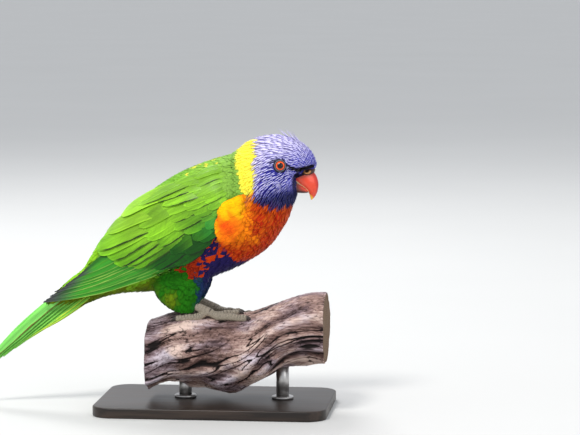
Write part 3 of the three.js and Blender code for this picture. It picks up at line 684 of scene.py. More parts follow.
def markings(p, random):
    """Base, edge and shaft colours and the marks of body feathers that show at points p."""
    x, z = seen(p)
    draw = random.uniform(-1, 1, (len(p), 3))

    def lay(share, *layers):
        """Lays some of base, edge, shaft, strength of streak and strength of edge over what is there."""
        for i, layer in enumerate(layers):
            if layer is not None:
                look[i] = mix(look[i], layer, share[:, None])

    # Green back, with a greyer band behind the collar and yellow flecks
    base = laid(MANTLE, GREY_GREEN, smooth((x + 4) / 16) * smooth((z - 84) / 16) * 0.9)
    base = laid(base, SHOULDER, smooth((98 - z) / 18) * smooth((x + 22) / 14) * 0.9)
    base = laid(base, WING_GREEN, smooth((-8 - x) / 20) * 0.6)
    base = laid(base, RUMP, smooth((-52 - x) / 26) * smooth((z - 10) / 14))
    look = [base, base * 0.7, laid(base * 1.25, WING_PALE_AND_HIGHLIGHT, 0.4), 0.3, 0.2]
    fleck = (ripple(p, 8, 11) > 0.5) & (x > -20) & (x < 6) & (z > 106) & (draw[:, 2] > 0.1)
    lay(fleck * 0.7, FLECK)

    # Under the wing and behind the breast: violet belly, then green and yellow vent
    behind = smooth((-12 - x + ripple(p, 8, 17) * 2) / 5)
    low = laid(BELLY, BELLY_BLUE, smooth((-4 - x) / 8) * smooth((36 - z) / 8))
    olive = smooth((-38 - x + ripple(p, 14, 19) * 2) / 16)
    olive = np.maximum(olive, 0.8 * smooth(1.4 - np.hypot((x + 34) / 6, (z - 13) / 7)))
    green = laid(THIGH_GREEN, VENT, olive * 0.9)
    low = laid(low, green * (1 + 0.1 * ripple(p, 16, 31))[:, None], behind)
    lay(below_share(p), low, low * 0.6, low * 1.5)

    # The flank's ragged orange-brown feathers, and the breast
    share = breast_share(p)
    flank_edge = np.interp(x, [-30, -27, -19, -9, -2, 5, 10], [60, 35, 31, 33, 41, 49, 60])
    flank = (z + 1.5 * draw[:, 1] > flank_edge) & (draw[:, 2] > mix(-0.85, 0.1, smooth((x + 15) / 10)))
    flank = (flank & (z < 66) & (np.abs(p[:, 1]) > 10)) * (1 - share)
    fire = laid(RUST, FLANK, smooth(0.5 + 0.5 * draw[:, 0]))
    fire = laid(fire, EMBER, 0.6 * smooth((x + 15) / 10))
    lay(flank, fire, FLANK * 1.25, FLANK, None, 0.8)
    breast, rust = breast_colours(p, draw)
    lay(share, breast, rust, laid(breast, AMBER, 0.5), 0.22, 0.55)

    # Collar, murky at its lower end, and head
    lay(collar_share(p), COLLAR, COLLAR * 0.8, COLLAR_SHAFT)
    murk = smooth(1.2 - np.hypot((x - 26) / 9, (z - 91) / 4.5))
    lay(murk * (0.45 + 0.3 * draw[:, 0]), COLLAR_MURK)
    head, streak = head_colours(p, draw[:, 0])
    lay(head_share(p), head, head * 0.3, STREAK, streak[:, None], 0.95)

    base, edge, shaft, streaked, edged = look
    marks = vectors(streaked[:, 0], edged[:, 0], random.uniform(size=len(p)))
    base = base * (1 + 0.05 * draw[:, 1:2])
    return {"Plumage": base, "Edging": edge, "Shaft": np.clip(shaft, 0, 1), "Marks": marks}


# Vanes

def rounded(t, narrow, fall, power=2.0):
    """Half width along a vane: narrow at the root, and rounded off from a part of its length."""
    past = np.clip((t - fall) / (1 - fall), 0, 1)
    return mix(narrow, 1, smooth(t / 0.35)) * np.maximum(np.sqrt(1 - past**power), 0.05)


def body_outline(t):
    return rounded(t, 0.5, 0.5)


def lance_outline(t):
    return mix(0.6, 1, smooth(t / 0.35)) * np.maximum((1 - smooth((t - 0.4) / 0.66)) ** 0.8, 0.06)


def flight_outline(t):
    return rounded(t, 0.5, 0.8, 2.3)


def tail_outline(t):
    return mix(0.6, 1, smooth(t / 0.25)) * np.maximum((1 - smooth((t - 0.5) / 0.55)) ** 0.6, 0.05)


def vane_faces(count, rows, columns, under):
    """Groups of faces of many vanes, each a top of rows by columns of cells and a coarser underside."""
    top = np.arange((rows + 1) * (columns + 1)).reshape(rows + 1, columns + 1)
    low = np.arange((rows + 1) * (under + 1)).reshape(rows + 1, under + 1) + top.size
    quads = [
        np.stack([g[:-1, :-1], g[1:, :-1], g[1:, 1:], g[:-1, 1:]], axis=-1).reshape(-1, 4)[:, ::turn]
        for g, turn in ((top, 1), (low, -1))
    ]
    caps = np.stack([np.append(top[0], low[0, 1:-1]), np.append(top[-1], low[-1, 1:-1])[::-1]])
    jump = (np.arange(count) * (top.size + low.size))[:, None, None]
    quads = np.concatenate(quads)
    return [(quads[None] + jump).reshape(-1, 4), (caps[None] + jump).reshape(-1, caps.shape[1])]


def vanes(name, line, normal, width, colours, patch, outline, random, columns, camber, frayed, under=1,
          share=(1.0, 1.0), turn=0.0, thick=0.35, lead=1):
    """One mesh of feathers. line and normal are arrays of feathers by rows by 3, width holds half widths.

    share gives the parts of the width on the two sides of the shaft, camber drops the edges, turn rolls
    each vane about its shaft, thick is its thickness at the shaft where the underside has a middle, and
    frayed draws points of the tip in and out. lead is the side of the shaft that the leading edge is on.
    """
    count, rows = line.shape[0], line.shape[1] - 1
    t = np.linspace(0, 1, rows + 1)
    a = np.linspace(-1, 1, columns + 1)
    run = unit(np.gradient(line, axis=1))
    across = unit(np.cross(normal, run))
    out = np.cross(run, across)
    turn = np.broadcast_to(np.asarray(turn, float), (count,))[:, None, None]
    across, out = across * np.cos(turn) + out * np.sin(turn), out * np.cos(turn) - across * np.sin(turn)
    reach = np.where(a < 0, a * share[0], a * share[1])
    offset = (width[:, None] * outline(t)[None, :])[:, :, None] * reach
    drop = camber * offset**2 / np.maximum(width[:, None, None], 0.1)
    top = line[:, :, None] + across[:, :, None] * offset[..., None] - out[:, :, None] * drop[..., None]
    push = random.uniform(-1, 1, (count, rows + 1, columns + 1)) * frayed * t[:, None] ** 3
    top = top + run[:, :, None] * push[..., None]
    keep = [0, columns // 2, columns] if under == 2 else [0, columns]
    low = top[:, :, keep].copy()
    if under == 2:
        low[:, :, 1] -= out * thick
    shape = (count, rows + 1, columns + 1)
    vane_map = vectors((a * lead + 1) / 2, t[:, None])

    def stacked(values):
        """Values for the points of the tops, and for those of the undersides, one feather after another."""
        size = values.shape[-1]
        grid = np.broadcast_to(values, (*shape, size))
        both = [grid.reshape(count, -1, size), grid[:, :, keep].reshape(count, -1, size)]
        return np.concatenate(both, axis=1).reshape(-1, size)

    points = np.concatenate([top.reshape(count, -1, 3), low.reshape(count, -1, 3)], axis=1).reshape(-1, 3)
    painted = {k: stacked(v if v.ndim == 4 else v.reshape(-1, 1, 1, 3)) for k, v in colours.items()}
    bake_map = stacked(patch[:, None, None] + (vane_map - 0.5) * PATCH_SIZE)
    maps = {"OFBake": bake_map, "Vane": stacked(vane_map)}
    return new_object(name, points, vane_faces(count, rows, columns, under), painted, maps)


# Skin

def coat_depth(u):
    return mix(COAT_DEPTH, FACE_DEPTH, smooth((u - 8.5) / 3))


def form_flesh(form, rounding, rows, sides, depth):
    u = np.linspace(0, len(form) - 1, rows)[:, None]
    return lofted(on_ring(form, u, circle(sides)[None], rounding, -depth(u)))


def thigh_ring(side, rows, angle, grow):
    z, x, half_x, half_y, y = (rows[..., k] for k in range(5))
    return vectors(x + (half_x + grow) * np.cos(angle), side * (y + (half_y + grow) * np.sin(angle)), z)


def thigh_flesh(side):
    rows = between(THIGH, np.linspace(0, len(THIGH) - 1, 26))[:, None]
    return lofted(thigh_ring(side, rows, circle(40)[None], -THIGH_DEPTH))


def wing_flesh(side):
    """The wing under its coverts, a plate on the body's side."""
    rows = between(WING_CORE, np.linspace(0, len(WING_CORE) - 1, 44))
    s = np.linspace(0, 1, 22)
    u, low, high, deep = (rows[:, k, None] for k in range(4))
    angle = mix(np.arcsin(np.clip(low, -1, 1)), np.arcsin(np.clip(high, -1, 1)), s)
    height = np.sin(angle)
    middle, up, depth, half = section(WING_FORM, u + 0 * s)
    width = half * (1 - np.abs(height) ** WING_ROUND) ** (1 / WING_ROUND)
    face = upright(middle, up, height * depth, side * width)
    normal = unit(upright(0, up, height / depth, side * np.cos(angle) / half))
    out = np.sin(math.pi * s)
    top = face - normal * (WING_DEPTH + 0.8 * (1 - out))[None, :, None]
    under = face - normal * (WING_DEPTH + 1.5 + deep * out)[..., None]
    return lofted(np.concatenate([top, under[:, ::-1]], axis=1))


class Surface:
    """The skin as something that feathers are laid over."""

    def __init__(self, piece):
        mesh = piece.data
        self.points = mesh_points(mesh)
        count = len(mesh.polygons)
        corners = np.zeros(len(mesh.loops), np.int32)
        sizes, starts = np.zeros(count, np.int32), np.zeros(count, np.int32)
        mesh.loops.foreach_get("vertex_index", corners)
        mesh.polygons.foreach_get("loop_total", sizes)
        mesh.polygons.foreach_get("loop_start", starts)
        faces = [corners[s:s + n].tolist() for s, n in zip(starts.tolist(), sizes.tolist())]
        self.tree = BVHTree.FromPolygons(self.points.tolist(), faces)
        self.normals = unit(np.add.reduceat(vertex_values(mesh, "normal")[corners], starts, axis=0))

    def nearest(self, points):
        found = [self.tree.find_nearest(p) for p in points.tolist()]
        return np.array([f[0] for f in found]), self.normals[np.array([f[2] for f in found])]

    def lines(self, roots, heading, length, rows):
        """Lines of points over the skin, from each root on its own heading, and the normals there.

        The lines part round the eyes.
        """
        at, normal = self.nearest(roots)
        line, normals = [at], [normal]
        for _ in range(rows):
            for side in (RIGHT, LEFT):
                off, far = off_eye(at, side)
                toward = np.maximum(-(heading * off).sum(axis=1) / np.maximum(far, 1), 0)
                heading = heading + off * (toward * smooth((9 - far) / 4) / np.maximum(far, 1))[:, None]
            heading = unit(heading - normal * (heading * normal).sum(axis=1, keepdims=True))
            at, normal = self.nearest(at + heading * (length / rows)[:, None])
            line.append(at)
            normals.append(normal)
        return np.stack(line, axis=1), np.stack(normals, axis=1)


def bill_room(p):
    """How far the face draws in, from 0 to 1, beside the bill and the cere."""
    x, z = p[:, 0], p[:, 2]
    beside_bill = smooth((x - 60.5) / 3.5) * smooth((113.5 - z) / 3) * smooth((z - 94.5) / 3)
    beside_cere = smooth((x - 64.5) / 3) * smooth((118 - z) / 3) * smooth((z - 107) / 3)
    return np.maximum(beside_bill, beside_cere)


def make_skin():
    """One closed surface over body, thighs, wings and the root of the tail, drawn in beside the bill."""
    flesh = [form_flesh(BODY, BODY_ROUND, 91, 72, coat_depth)]
    flesh += [thigh_flesh(RIGHT), thigh_flesh(LEFT), wing_flesh(RIGHT), wing_flesh(LEFT)]
    flesh.append(form_flesh(TAIL_ROOT, 2, 16, 32, lambda u: 1.2))
    made = remeshed("skin", flesh, 0.9, 6)
    points = mesh_points(made.data)
    y = np.abs(points[:, 1])
    points[:, 1] = np.sign(points[:, 1]) * mix(y, np.minimum(y, FACE_LIMIT), bill_room(points))
    move_points(made.data, points)
    return made


skin = make_skin()
surface = Surface(skin)


def finish_skin():
    shown = markings(surface.points, np.random.default_rng(9))
    x, z = surface.points[:, 0], surface.points[:, 2]
    # Painted shade: the skin under the feathers is darkened, and darker still beside the bill.
    dim = 0.65 - 0.55 * smooth((x - 57.5) / 4) * smooth((114 - z) / 4) * smooth((z - 92) / 4)
    paint(skin.data, {"Plumage": shown["Plumage"] * dim[:, None]})
    f = Finish("skin_under_feathers", Roughness=0.8)
    f.bump(f.noise(f.place(), 900.0), 0.3, 0.0004)
    replaced = ["torso", "neck", "head", "thigh_right", "thigh_left"]
    finished(skin, f.set(Base_Color=f.attribute("Plumage")), replaced)


# Coat

def ring_roots(form, rounding, u_from, u_to, along, across, random):
    """Roots of feathers in staggered rings over a form, and the way back along it at each.

    along(u) and across(u) are the spacings between rings and in a ring.
    """
    fine = np.linspace(0, 2 * math.pi, 361)
    end = len(form) - 1
    turns, places = [], []
    u, row = u_from, 0
    while u < u_to:
        ring = on_ring(form, np.full(361, u), fine, rounding)
        length = distances(ring)
        count = max(6, round(length[-1] / across(u)))
        place = (np.arange(count) + 0.5 * (row % 2) + random.uniform(-0.2, 0.2, count)) / count * length[-1]
        ahead = on_ring(form, np.full(361, min(u + 0.05, end)), fine, rounding)
        pace = max(np.linalg.norm(ahead - ring, axis=1).mean(), 0.05) / 0.05
        turns.append(np.interp(place % length[-1], length, fine))
        places.append(np.clip(u + random.uniform(-0.25, 0.25, count) * along(u) / pace, 0, end - 0.02))
        u += along(u) / pace
        row += 1
    angle, u = np.concatenate(turns), np.concatenate(places)
    roots = on_ring(form, u, angle, rounding)
    ahead = on_ring(form, np.minimum(u + 0.12, end), angle, rounding)
    back = on_ring(form, np.maximum(u - 0.12, 0), angle, rounding)
    return roots, unit(back - ahead), u, angle


def turned(heading, normal, angle):
    return unit(heading * np.cos(angle)[:, None] + np.cross(normal, heading) * np.sin(angle)[:, None])


def wing_covers(p):
    """Where the larger feathers of the folded wings hide the body."""
    u, height = locate(WING_FORM, p[:, 0], p[:, 2])
    edge = np.interp(u, WING_CORE[::-1, 0], WING_CORE[::-1, 1])
    return (u > 2.3) & (u < 7.2) & (height > edge + 0.1) & (height < 0.8) & (np.abs(p[:, 1]) > 5)


def coat(name, rooted, length, half, tip, rows, seed, headed=False, columns=4, wander=0.12, curl=0.9):
    """Feathers laid over the skin from their roots, each with its lie and its place on the OFBake map.

    length, half width and tip's height are for all or for each. The head's feathers are lance-shaped.
    """
    roots, lie, patch = rooted
    random = np.random.default_rng(seed)
    count = len(roots)
    length = length * random.uniform(0.85, 1.15, count)
    normal = surface.nearest(roots)[1]
    heading = turned(lie, normal, ripple(roots, 18, seed + 1) * wander + random.normal(0, 0.08, count))
    line, normals = surface.lines(roots, heading, length, rows)
    shown = markings(line[:, round(0.75 * rows)], random)
    t = np.linspace(0, 1, rows + 1)
    lift = mix(-0.35, (tip * random.uniform(0.75, 1.2, count))[:, None], t[None, :] ** curl)
    made = vanes(
        name, line + normals * lift[..., None], normals, half * random.uniform(0.9, 1.12, count), shown,
        patch, lance_outline if headed else body_outline, random, columns, 0.3 if headed else 0.14, 0.25,
        turn=random.normal(0, 0.06, count),
    )
    finished(made, head_feather if headed else body_feather)


def body_patch(u, angle):
    """Places of roots on an unwrap of the body: along it, and round it from the back."""
    return vectors(0.02 + 0.62 * u / BODY_END, 0.02 + 0.96 * (angle / (2 * math.pi) % 1))


def eye_distance(p):
    return np.minimum(off_eye(p, RIGHT)[1], off_eye(p, LEFT)[1])


def add_head_coat():
    def across(u):
        return float(np.interp(u, [7, 9, 11.5, 13.5, 14.6], [1.7, 1.5, 1.35, 1.05, 0.85]))

    def by_section(*sizes):
        return np.interp(u, [8, 10, 12, 13.5, 14.8], sizes)

    random = np.random.default_rng(101)
    rooted = ring_roots(BODY, BODY_ROUND, 6.4, 14.8, lambda u: across(u) * 2.1, across, random)
    roots = rooted[0]
    kept = (zone(roots) == "head") & (eye_distance(roots) > EYE_ROOM) & (bill_room(roots) < 0.97)
    roots, lie, u, angle = (v[kept] for v in rooted)
    room = mix(0.6, 1, smooth((eye_distance(roots) - EYE_ROOM) / 5))
    coat(
        "plumage_head", (roots, lie, body_patch(u, angle)), by_section(8.8, 8.2, 7, 4.8, 2.8) * room,
        by_section(1.15, 1.02, 0.88, 0.66, 0.48) * room, np.interp(u, [8, 9, 13, 14.8], [1.8, 1.3, 0.9, 0.5]),
        5, 102, headed=True, columns=2,
    )


def add_face_coat():
    """Small feathers on the slopes behind the bill, which point away from it."""
    random = np.random.default_rng(141)
    near = bill_room(surface.points)
    near = np.flatnonzero((near > 0.03) & (near < 0.95) & (np.abs(surface.points[:, 1]) > 2))
    roots = surface.points[random.choice(near, min(len(near), 700), replace=False)]
    u, height = locate(BODY, roots[:, 0], roots[:, 2])
    angle = np.arccos(np.clip(height, -1, 1)) * np.sign(roots[:, 1])
    rooted = roots, unit(roots - BILL_ROOT), body_patch(u, angle)
    coat("plumage_face", rooted, 3.4, 0.5, 0.7, 4, 142, headed=True, columns=2)


def add_crest():
    """A few loose feathers that stand off the crown."""
    random = np.random.default_rng(131)
    u, angle = random.uniform(11.5, 12.5, 16), random.uniform(-0.22, 0.22, 16)
    rooted = on_ring(BODY, u, angle, BODY_ROUND), np.array([[-0.97, 0.0, 0.24]]), body_patch(u, angle)
    coat(
        "plumage_crest", rooted, 12.0, 0.8, 5.6, 7, 132, headed=True, columns=2, wander=0.2,
        curl=1.5,
    )


def add_body_coat(part, seed, spacing, length, half, tip, columns, rows):
    """The coat over one stretch of the body."""
    random = np.random.default_rng(seed)
    rooted = ring_roots(BODY, BODY_ROUND, 0.1, 10.2, lambda u: spacing, lambda u: spacing, random)
    kept = (zone(rooted[0]) == part) & ~wing_covers(rooted[0])
    roots, lie, u, angle = (v[kept] for v in rooted)
    x, z = seen(roots)
    size = 1
    if part == "breast":
        size = 1 - 0.4 * smooth((z - 80) / 8) * smooth((36 - x) / 8)
    if part == "belly":
        size = 1 + 0.35 * smooth((x + 34) / 6) * smooth((14 - x) / 6) * smooth((z - 26) / 6)
    rooted = roots, lie, body_patch(u, angle)
    coat("plumage_" + part, rooted, length * size, half * size, tip, rows, seed + 1, columns=columns)


head_feather = coat_finish("head_feathers", 9, 0.46, 0.6, 0.03)
body_feather = coat_finish("body_feathers", 17, 0.3, 0.65, 0.04)
flight_feather = flight_finish("flight_feathers", 0.5, 0.5)
covert_feather = flight_finish("wing_covert_feathers", 0.4, 0.12, 0.4)

finish_skin()
add_head_coat()
add_face_coat()
add_crest()
add_body_coat("collar", 301, 1.6, 7, 1.5, 1.4, 4, 5)
add_body_coat("back", 401, 2.3, 10, 2.6, 1.1, 4, 6)
add_body_coat("breast", 501, 2.2, 11, 2.5, 1.6, 6, 6)
add_body_coat("belly", 601, 2.4, 10, 2.4, 1.6, 4, 6)


def add_thigh_coat(side_name, side):
    random = np.random.default_rng(700 + side)
    z = np.arange(44, 8, -2.6)
    u = np.repeat(np.interp(z, THIGH[::-1, 0], np.arange(len(THIGH))[::-1]), 26)
    angle = np.tile(circle(26), len(z)) + random.uniform(-0.1, 0.1, len(u))
    roots = thigh_ring(side, between(THIGH, u), angle, -THIGH_DEPTH)
    patch = vectors(0.68 + 0.12 * u / 5, 0.25 + 0.5 * (side > 0) + 0.2 * angle / (2 * math.pi))
    coat(
        "plumage_thigh_" + side_name, (roots, unit(np.array([[-0.35, 0, -1]])), patch),
        np.interp(u, [1, 5], [10, 6]), np.interp(u, [1, 5], [2.9, 2.0]), 1.3, 6, 710 + side,
    )


# Rear edge of the breast over the folded wing, as places of the view from the top down
LOBES_EDGE = np.array([[14, 89.5], [5.5, 85], [3, 80.5], [3.6, 77], [0.5, 71.5], [1.5, 65], [3, 60], [6, 56]])
LOBES = (28, 5)  # feathers along it, and rows


def add_breast_lobes(side_name, side):
    """The feathers at the breast's rear edge, which lie over the front edge of the wing."""
    random = np.random.default_rng(520 + side)
    s, row = (v.ravel() for v in np.meshgrid(np.linspace(0, 1, LOBES[0]), np.arange(LOBES[1])))
    s = np.clip(s + random.uniform(-0.02, 0.02, len(s)), 0, 1)
    place = s * (len(LOBES_EDGE) - 1)
    tip = np.stack([np.interp(place, np.arange(len(LOBES_EDGE)), LOBES_EDGE[:, k]) for k in (0, 1)], axis=-1)
    heading = unit(vectors(-1, -0.35 - 0.5 * s))
    tip = tip + 3.2 - heading * (row * 3.4 + random.uniform(-0.8, 0.8, len(s)))[:, None]
    root = tip - heading * 12
    t = np.linspace(0, 1, 9)
    flat = mix(root[:, None], tip[:, None], t[None, :, None])
    fall = 0.32 * np.maximum(flat[..., 0] - 15, 0)
    puff = 0.9 * np.sin(math.pi * (3.2 * s % 1)) ** 0.6
    lift = mix(-1.4, (1.2 + puff - 0.12 * row)[:, None], smooth(t / 0.7)) - fall
    line, normal = on_side(WING_FORM, WING_ROUND, side, flat[..., 0], flat[..., 1], lift)
    draw = random.uniform(-1, 1, (len(s), 3))
    breast, rust = breast_colours(line.reshape(-1, 3), np.repeat(draw, 9, axis=0))
    breast, rust = (v.reshape(len(s), 9, 1, 3) for v in (breast, rust))
    colours = {"Plumage": breast, "Edging": mix(breast, rust, 0.7), "Shaft": mix(breast, AMBER, 0.5)}
    colours["Marks"] = vectors(0.15, 0.4, random.uniform(size=len(s)))
    patch = vectors(0.68 + 0.1 * s, 0.75 + 0.1 * (side > 0) + 0.015 * row)
    made = vanes(
        "plumage_breast_side_" + side_name, line, normal, np.full(len(s), 3.0), colours, patch, body_outline,
        random, 6, 0.16, 0.3, under=2,
    )
    finished(made, body_feather)


# Wings

def wing_colours(line, random, light, dark):
    """Colours along wing feathers by the place of each point of their lines.

    dark is the share of them with a black line of painted shadow along the trailing edge.
    """
    count, rows = line.shape[:2]
    x, z = seen(line.reshape(-1, 3))
    shoulder = smooth((x + 38) / 34) * smooth((94 - z) / 30)
    base = laid(WING_GREEN, SHOULDER, shoulder * 0.95)
    base = laid(base, EMERALD, smooth((x + 16) / 16) * smooth((90 - z) / 20) * 0.7)
    # Paler, yellower green higher up the wing: partly its own colour, partly a painted highlight where light
    # falls from above.
    base = laid(base, WING_PALE_AND_HIGHLIGHT, light * (1 - shoulder) * smooth((z - 50) / 40 + 0.3))
    # Painted shade: the wing turns deep green towards its lower edge, where it turns under.
    low = np.interp(x, [-78, -58, -42, -27, -10, 4], [24, 42, 56, 61, 66, 72])
    base = laid(base, PAINTED_SHADE_GREEN, smooth((low + 4 - z) / 13))
    base = base.reshape(count, rows, 1, 3) * (1 + 0.13 * ripple(line, 20, 33))[..., None, None]
    base = base * (1 + 0.1 * random.uniform(-1, 1, (count, 1, 1, 1)))
    # Each feather darkens towards its root: painted shade under the feathers that lie over it.
    base = base * mix(0.74, 1.06, smooth(np.linspace(0, 1, rows) / 0.9))[:, None, None]
    edged = np.where(random.uniform(size=count) < dark, random.uniform(0.8, 1, count), 0.06)
    marks = vectors(0.3, edged, random.uniform(size=count))
    return {"Plumage": base, "Edging": WING_GAP_SHADE, "Shaft": base * 0.6, "Marks": marks}


# Tiers of the wing, each over the one before. For the lowest and the highest feather: root, tip (with a
# middle one), half width and how far its line bows down; then how far the tips stand over the wing's
# form, and the roll that lifts each lower edge
WING_TIERS = {
    "primaries": (
        11, [[-26, 44], [-50, 64]], [[-132, 11], [-126, 15.5], [-106, 31]], [5, 5.4], [2, 0], 0.2, 0.1,
    ),
    "secondaries": (
        9, [[-3, 61], [-34, 84]], [[-29, 44], [-60, 42], [-90, 50]], [5.6, 8.6], [2, 2], 0.6, 0.08,
    ),
    "tertials": (3, [[-26, 84], [-14, 104]], [[-91, 54], [-84, 65], [-72, 78]], [7.4, 8], [0, -3], 0.9, 0.06),
    "greater_coverts": (
        9, [[3, 67], [-20, 99]], [[-19, 53], [-43, 58], [-62, 76]], [5.6, 7.6], [1, -1], 0.8, 0.06,
    ),
    "median_coverts": (
        8, [[8, 76], [-2, 108]], [[-8, 62], [-29, 74], [-46, 92]], [5.6, 7], [1, -2], 0.8, 0.05,
    ),
    "scapulars": (3, [[4, 104], [2, 117]], [[-36, 88], [-47, 91], [-57, 87]], [6.4, 6], [-1, 0], 1.2, 0.08),
    "lesser_coverts_rear": (
        10, [[12, 83], [8, 113]], [[0, 70], [-16, 84], [-30, 101]], [4.8, 5.6], [0, -1], 0.7, 0.04,
    ),
    "lesser_coverts_front": (
        10, [[15, 90], [13, 119]], [[6, 77], [-5, 92], [-14, 108]], [4.2, 5], [0, -1], 0.6, 0.04,
    ),
}
SUNK = -1.5  # height of the roots over the wing's form
# Share of each tier's feathers with a black line of painted shadow along an edge
SHADE_LINED = {
    "secondaries": 0.85, "tertials": 0.7, "scapulars": 1.0, "greater_coverts": 0.35, "median_coverts": 0.3,
}


def add_wing_tier(side_name, side, kind, seed):
    count, roots, tips, half, bow, lift, roll = WING_TIERS[kind]
    random = np.random.default_rng(seed + side)
    s = np.linspace(0, 1, count)
    flight = kind in ("primaries", "secondaries", "tertials")
    rows = 22 if flight else 14
    t = np.linspace(0, 1, rows + 1)
    root = mix(np.array(roots[0], float), np.array(roots[1], float), s[:, None])
    tip = arc(tips, s) + random.normal(0, 1.0, (count, 2))
    run = unit(tip - root)
    down = np.stack([-run[:, 1], run[:, 0]], axis=-1)
    flat = mix(root[:, None], tip[:, None], t[None, :, None])
    flat = flat + (down * mix(*bow, s[:, None]))[:, None] * np.sin(math.pi * t)[None, :, None]
    height = mix(SUNK, lift + random.uniform(-0.3, 0.3, (count, 1)), smooth(t / 0.6)[None, :])
    line, normal = on_side(WING_FORM, WING_ROUND, side, flat[..., 0], flat[..., 1], height)
    colours = wing_colours(line, random, 0.5 if flight else 0.35, SHADE_LINED.get(kind, 0.15))
    if kind == "primaries":
        fade = smooth((t - 0.72) / 0.24)[None, :, None, None]
        colours["Plumage"] = mix(PRIMARY, DUSKY, fade)
        colours["Edging"] = mix(EDGE_LINE, DUSKY * 0.8, fade)
        colours["Marks"][:, 0] = 0.5
        colours["Marks"][:, 1] = random.uniform(0.2, 0.75, count)
    patch = vectors(0.68 + 0.3 * s, (0.55 if side == RIGHT else 0.85) + seed % 7 * 0.02)
    outline = tail_outline if kind == "primaries" else flight_outline if flight else body_outline
    made = vanes(
        f"{kind}_{side_name}", line, normal, mix(*half, s), colours, patch, outline, random, 8, 0.06, 0.35,
        under=2, share=(1.15, 0.85)[::-side], turn=-side * roll * random.uniform(0.5, 1.6, count),
        lead=-side,
    )
    return finished(made, flight_feather if kind == "primaries" else covert_feather)


for side_name, side in SIDES.items():
    add_thigh_coat(side_name, side)
    add_breast_lobes(side_name, side)
    wings = [add_wing_tier(side_name, side, kind, 800 + 10 * i) for i, kind in enumerate(WING_TIERS)]
    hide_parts("wing_" + side_name)


# Tail

TAIL_PAIRS = 6
TAIL_ROOTS = np.array([[-106, 26, 4.2], [-98, 15, 6.2]])  # x, z and distance from the middle
TAIL_TIPS = np.array([[-187, -47, 2.6], [-143, -15.5, 6.2]])
TAIL_HALF = (5.2, 3.4)
TAIL_ROLL = (0.85, 1.0)
TAIL_ARCH = 3.2
TAIL_STAGGER = 1.1
TAIL_ROWS = 24


def add_tail():
    random = np.random.default_rng(901)
    for side_name, side in SIDES.items():
        s = np.linspace(0, 1, TAIL_PAIRS)[:, None]
        t = np.linspace(0, 1, TAIL_ROWS + 1)
        root, tip, roll = mix(*TAIL_ROOTS, s), mix(*TAIL_TIPS, s), mix(*TAIL_ROLL, s)
        run = unit((tip - root)[:, :2])
        up = vectors(run[:, 1], 0, -run[:, 0])
        normal = up * np.cos(roll) + np.array([0, side, 0]) * np.sin(roll)
        x, z, y = np.moveaxis(mix(root[:, None], tip[:, None], t[None, :, None]), -1, 0)
        arch = TAIL_ARCH * np.sin(math.pi * t)[None, :] * (1 - s) - (TAIL_STAGGER if side == LEFT else 0)
        line = vectors(x, side * y, z) + up[:, None] * arch[..., None]
        green = laid(TAIL_GREEN, RUMP, 0.5 * s[:, 0])
        # The top pair's brown line along its lower edge is painted shade.
        lines = np.stack([TAIL_SHADE_BROWN, THIGH_GREEN, THIGH_GREEN, THIGH_GREEN, TAIL_YELLOW, TAIL_YELLOW])
        marks = vectors(0.55, 0.9, random.uniform(size=TAIL_PAIRS))
        colours = {"Plumage": green, "Edging": lines, "Shaft": green * 0.6, "Marks": marks}
        patch = vectors(0.7 + 0.04 * np.arange(TAIL_PAIRS), 0.05 if side < 0 else 0.1)
        made = vanes(
            "tail_feathers_" + side_name, line, np.broadcast_to(normal[:, None], line.shape),
            mix(*TAIL_HALF, s[:, 0]), colours, patch, tail_outline, random, 8, 0.1, 0.3, under=2,
            share=(1.12, 0.88)[::-side], thick=0.45, lead=-side,
        )
        finished(made, tail_feather)
    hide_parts("tail")


def add_tail_coverts():
    """Feathers over and under the root of the tail."""
    random = np.random.default_rng(951)
    roots, lie, u, angle = ring_roots(TAIL_ROOT, 2, 0.0, 2.6, lambda u: 3.4, lambda u: 3.6, random)
    rooted = roots, -lie, vectors(0.7 + 0.1 * u, 0.14 + 0.08 * angle / 6.3)
    coat("plumage_tail_coverts", rooted, 15.0, 3.6, 1.4, 8, 952)


# The trailing below 0 paints a highlight along the upper part of each tail feather.
tail_feather = flight_finish("tail_feathers", 0.5, -0.25)
add_tail()
add_tail_coverts()


# Eyes

IRIS, PUPIL = 3.55, 2.0
EYE_SIDES = 144
# Across the lids from the eyeball out: distance from the middle, height over the middle, part of grey skin
LIDS = np.array([
    [3.5, 3.3, 0.0], [3.58, 3.9, 0.0], [3.72, 4.1, 0.1], [3.88, 4.18, 0.5], [4.12, 4.12, 0.9],
    [4.36, 3.98, 0.35], [4.6, 3.94, 0.0], [4.9, 3.7, 0.0], [5.3, 3.2, 0.0], [5.2, 2.6, 0.0], [4.4, 2.6, 0.0],
])


def around_eye(side, radius, height):
    """Rings about the way an eye looks, from their radii and their heights over its middle."""
    look = EYE_LOOK[side]
    ahead = unit(np.cross(look, (0, 0, side)))
    up = np.cross(ahead, look) * side
    angle = circle(EYE_SIDES)[:, None]
    radius, height = (np.broadcast_to(v, (len(radius), EYE_SIDES))[..., None] for v in (radius, height))
    return EYE_PLACE[side] + radius * (ahead * np.cos(angle) + up * np.sin(angle)) + height * look


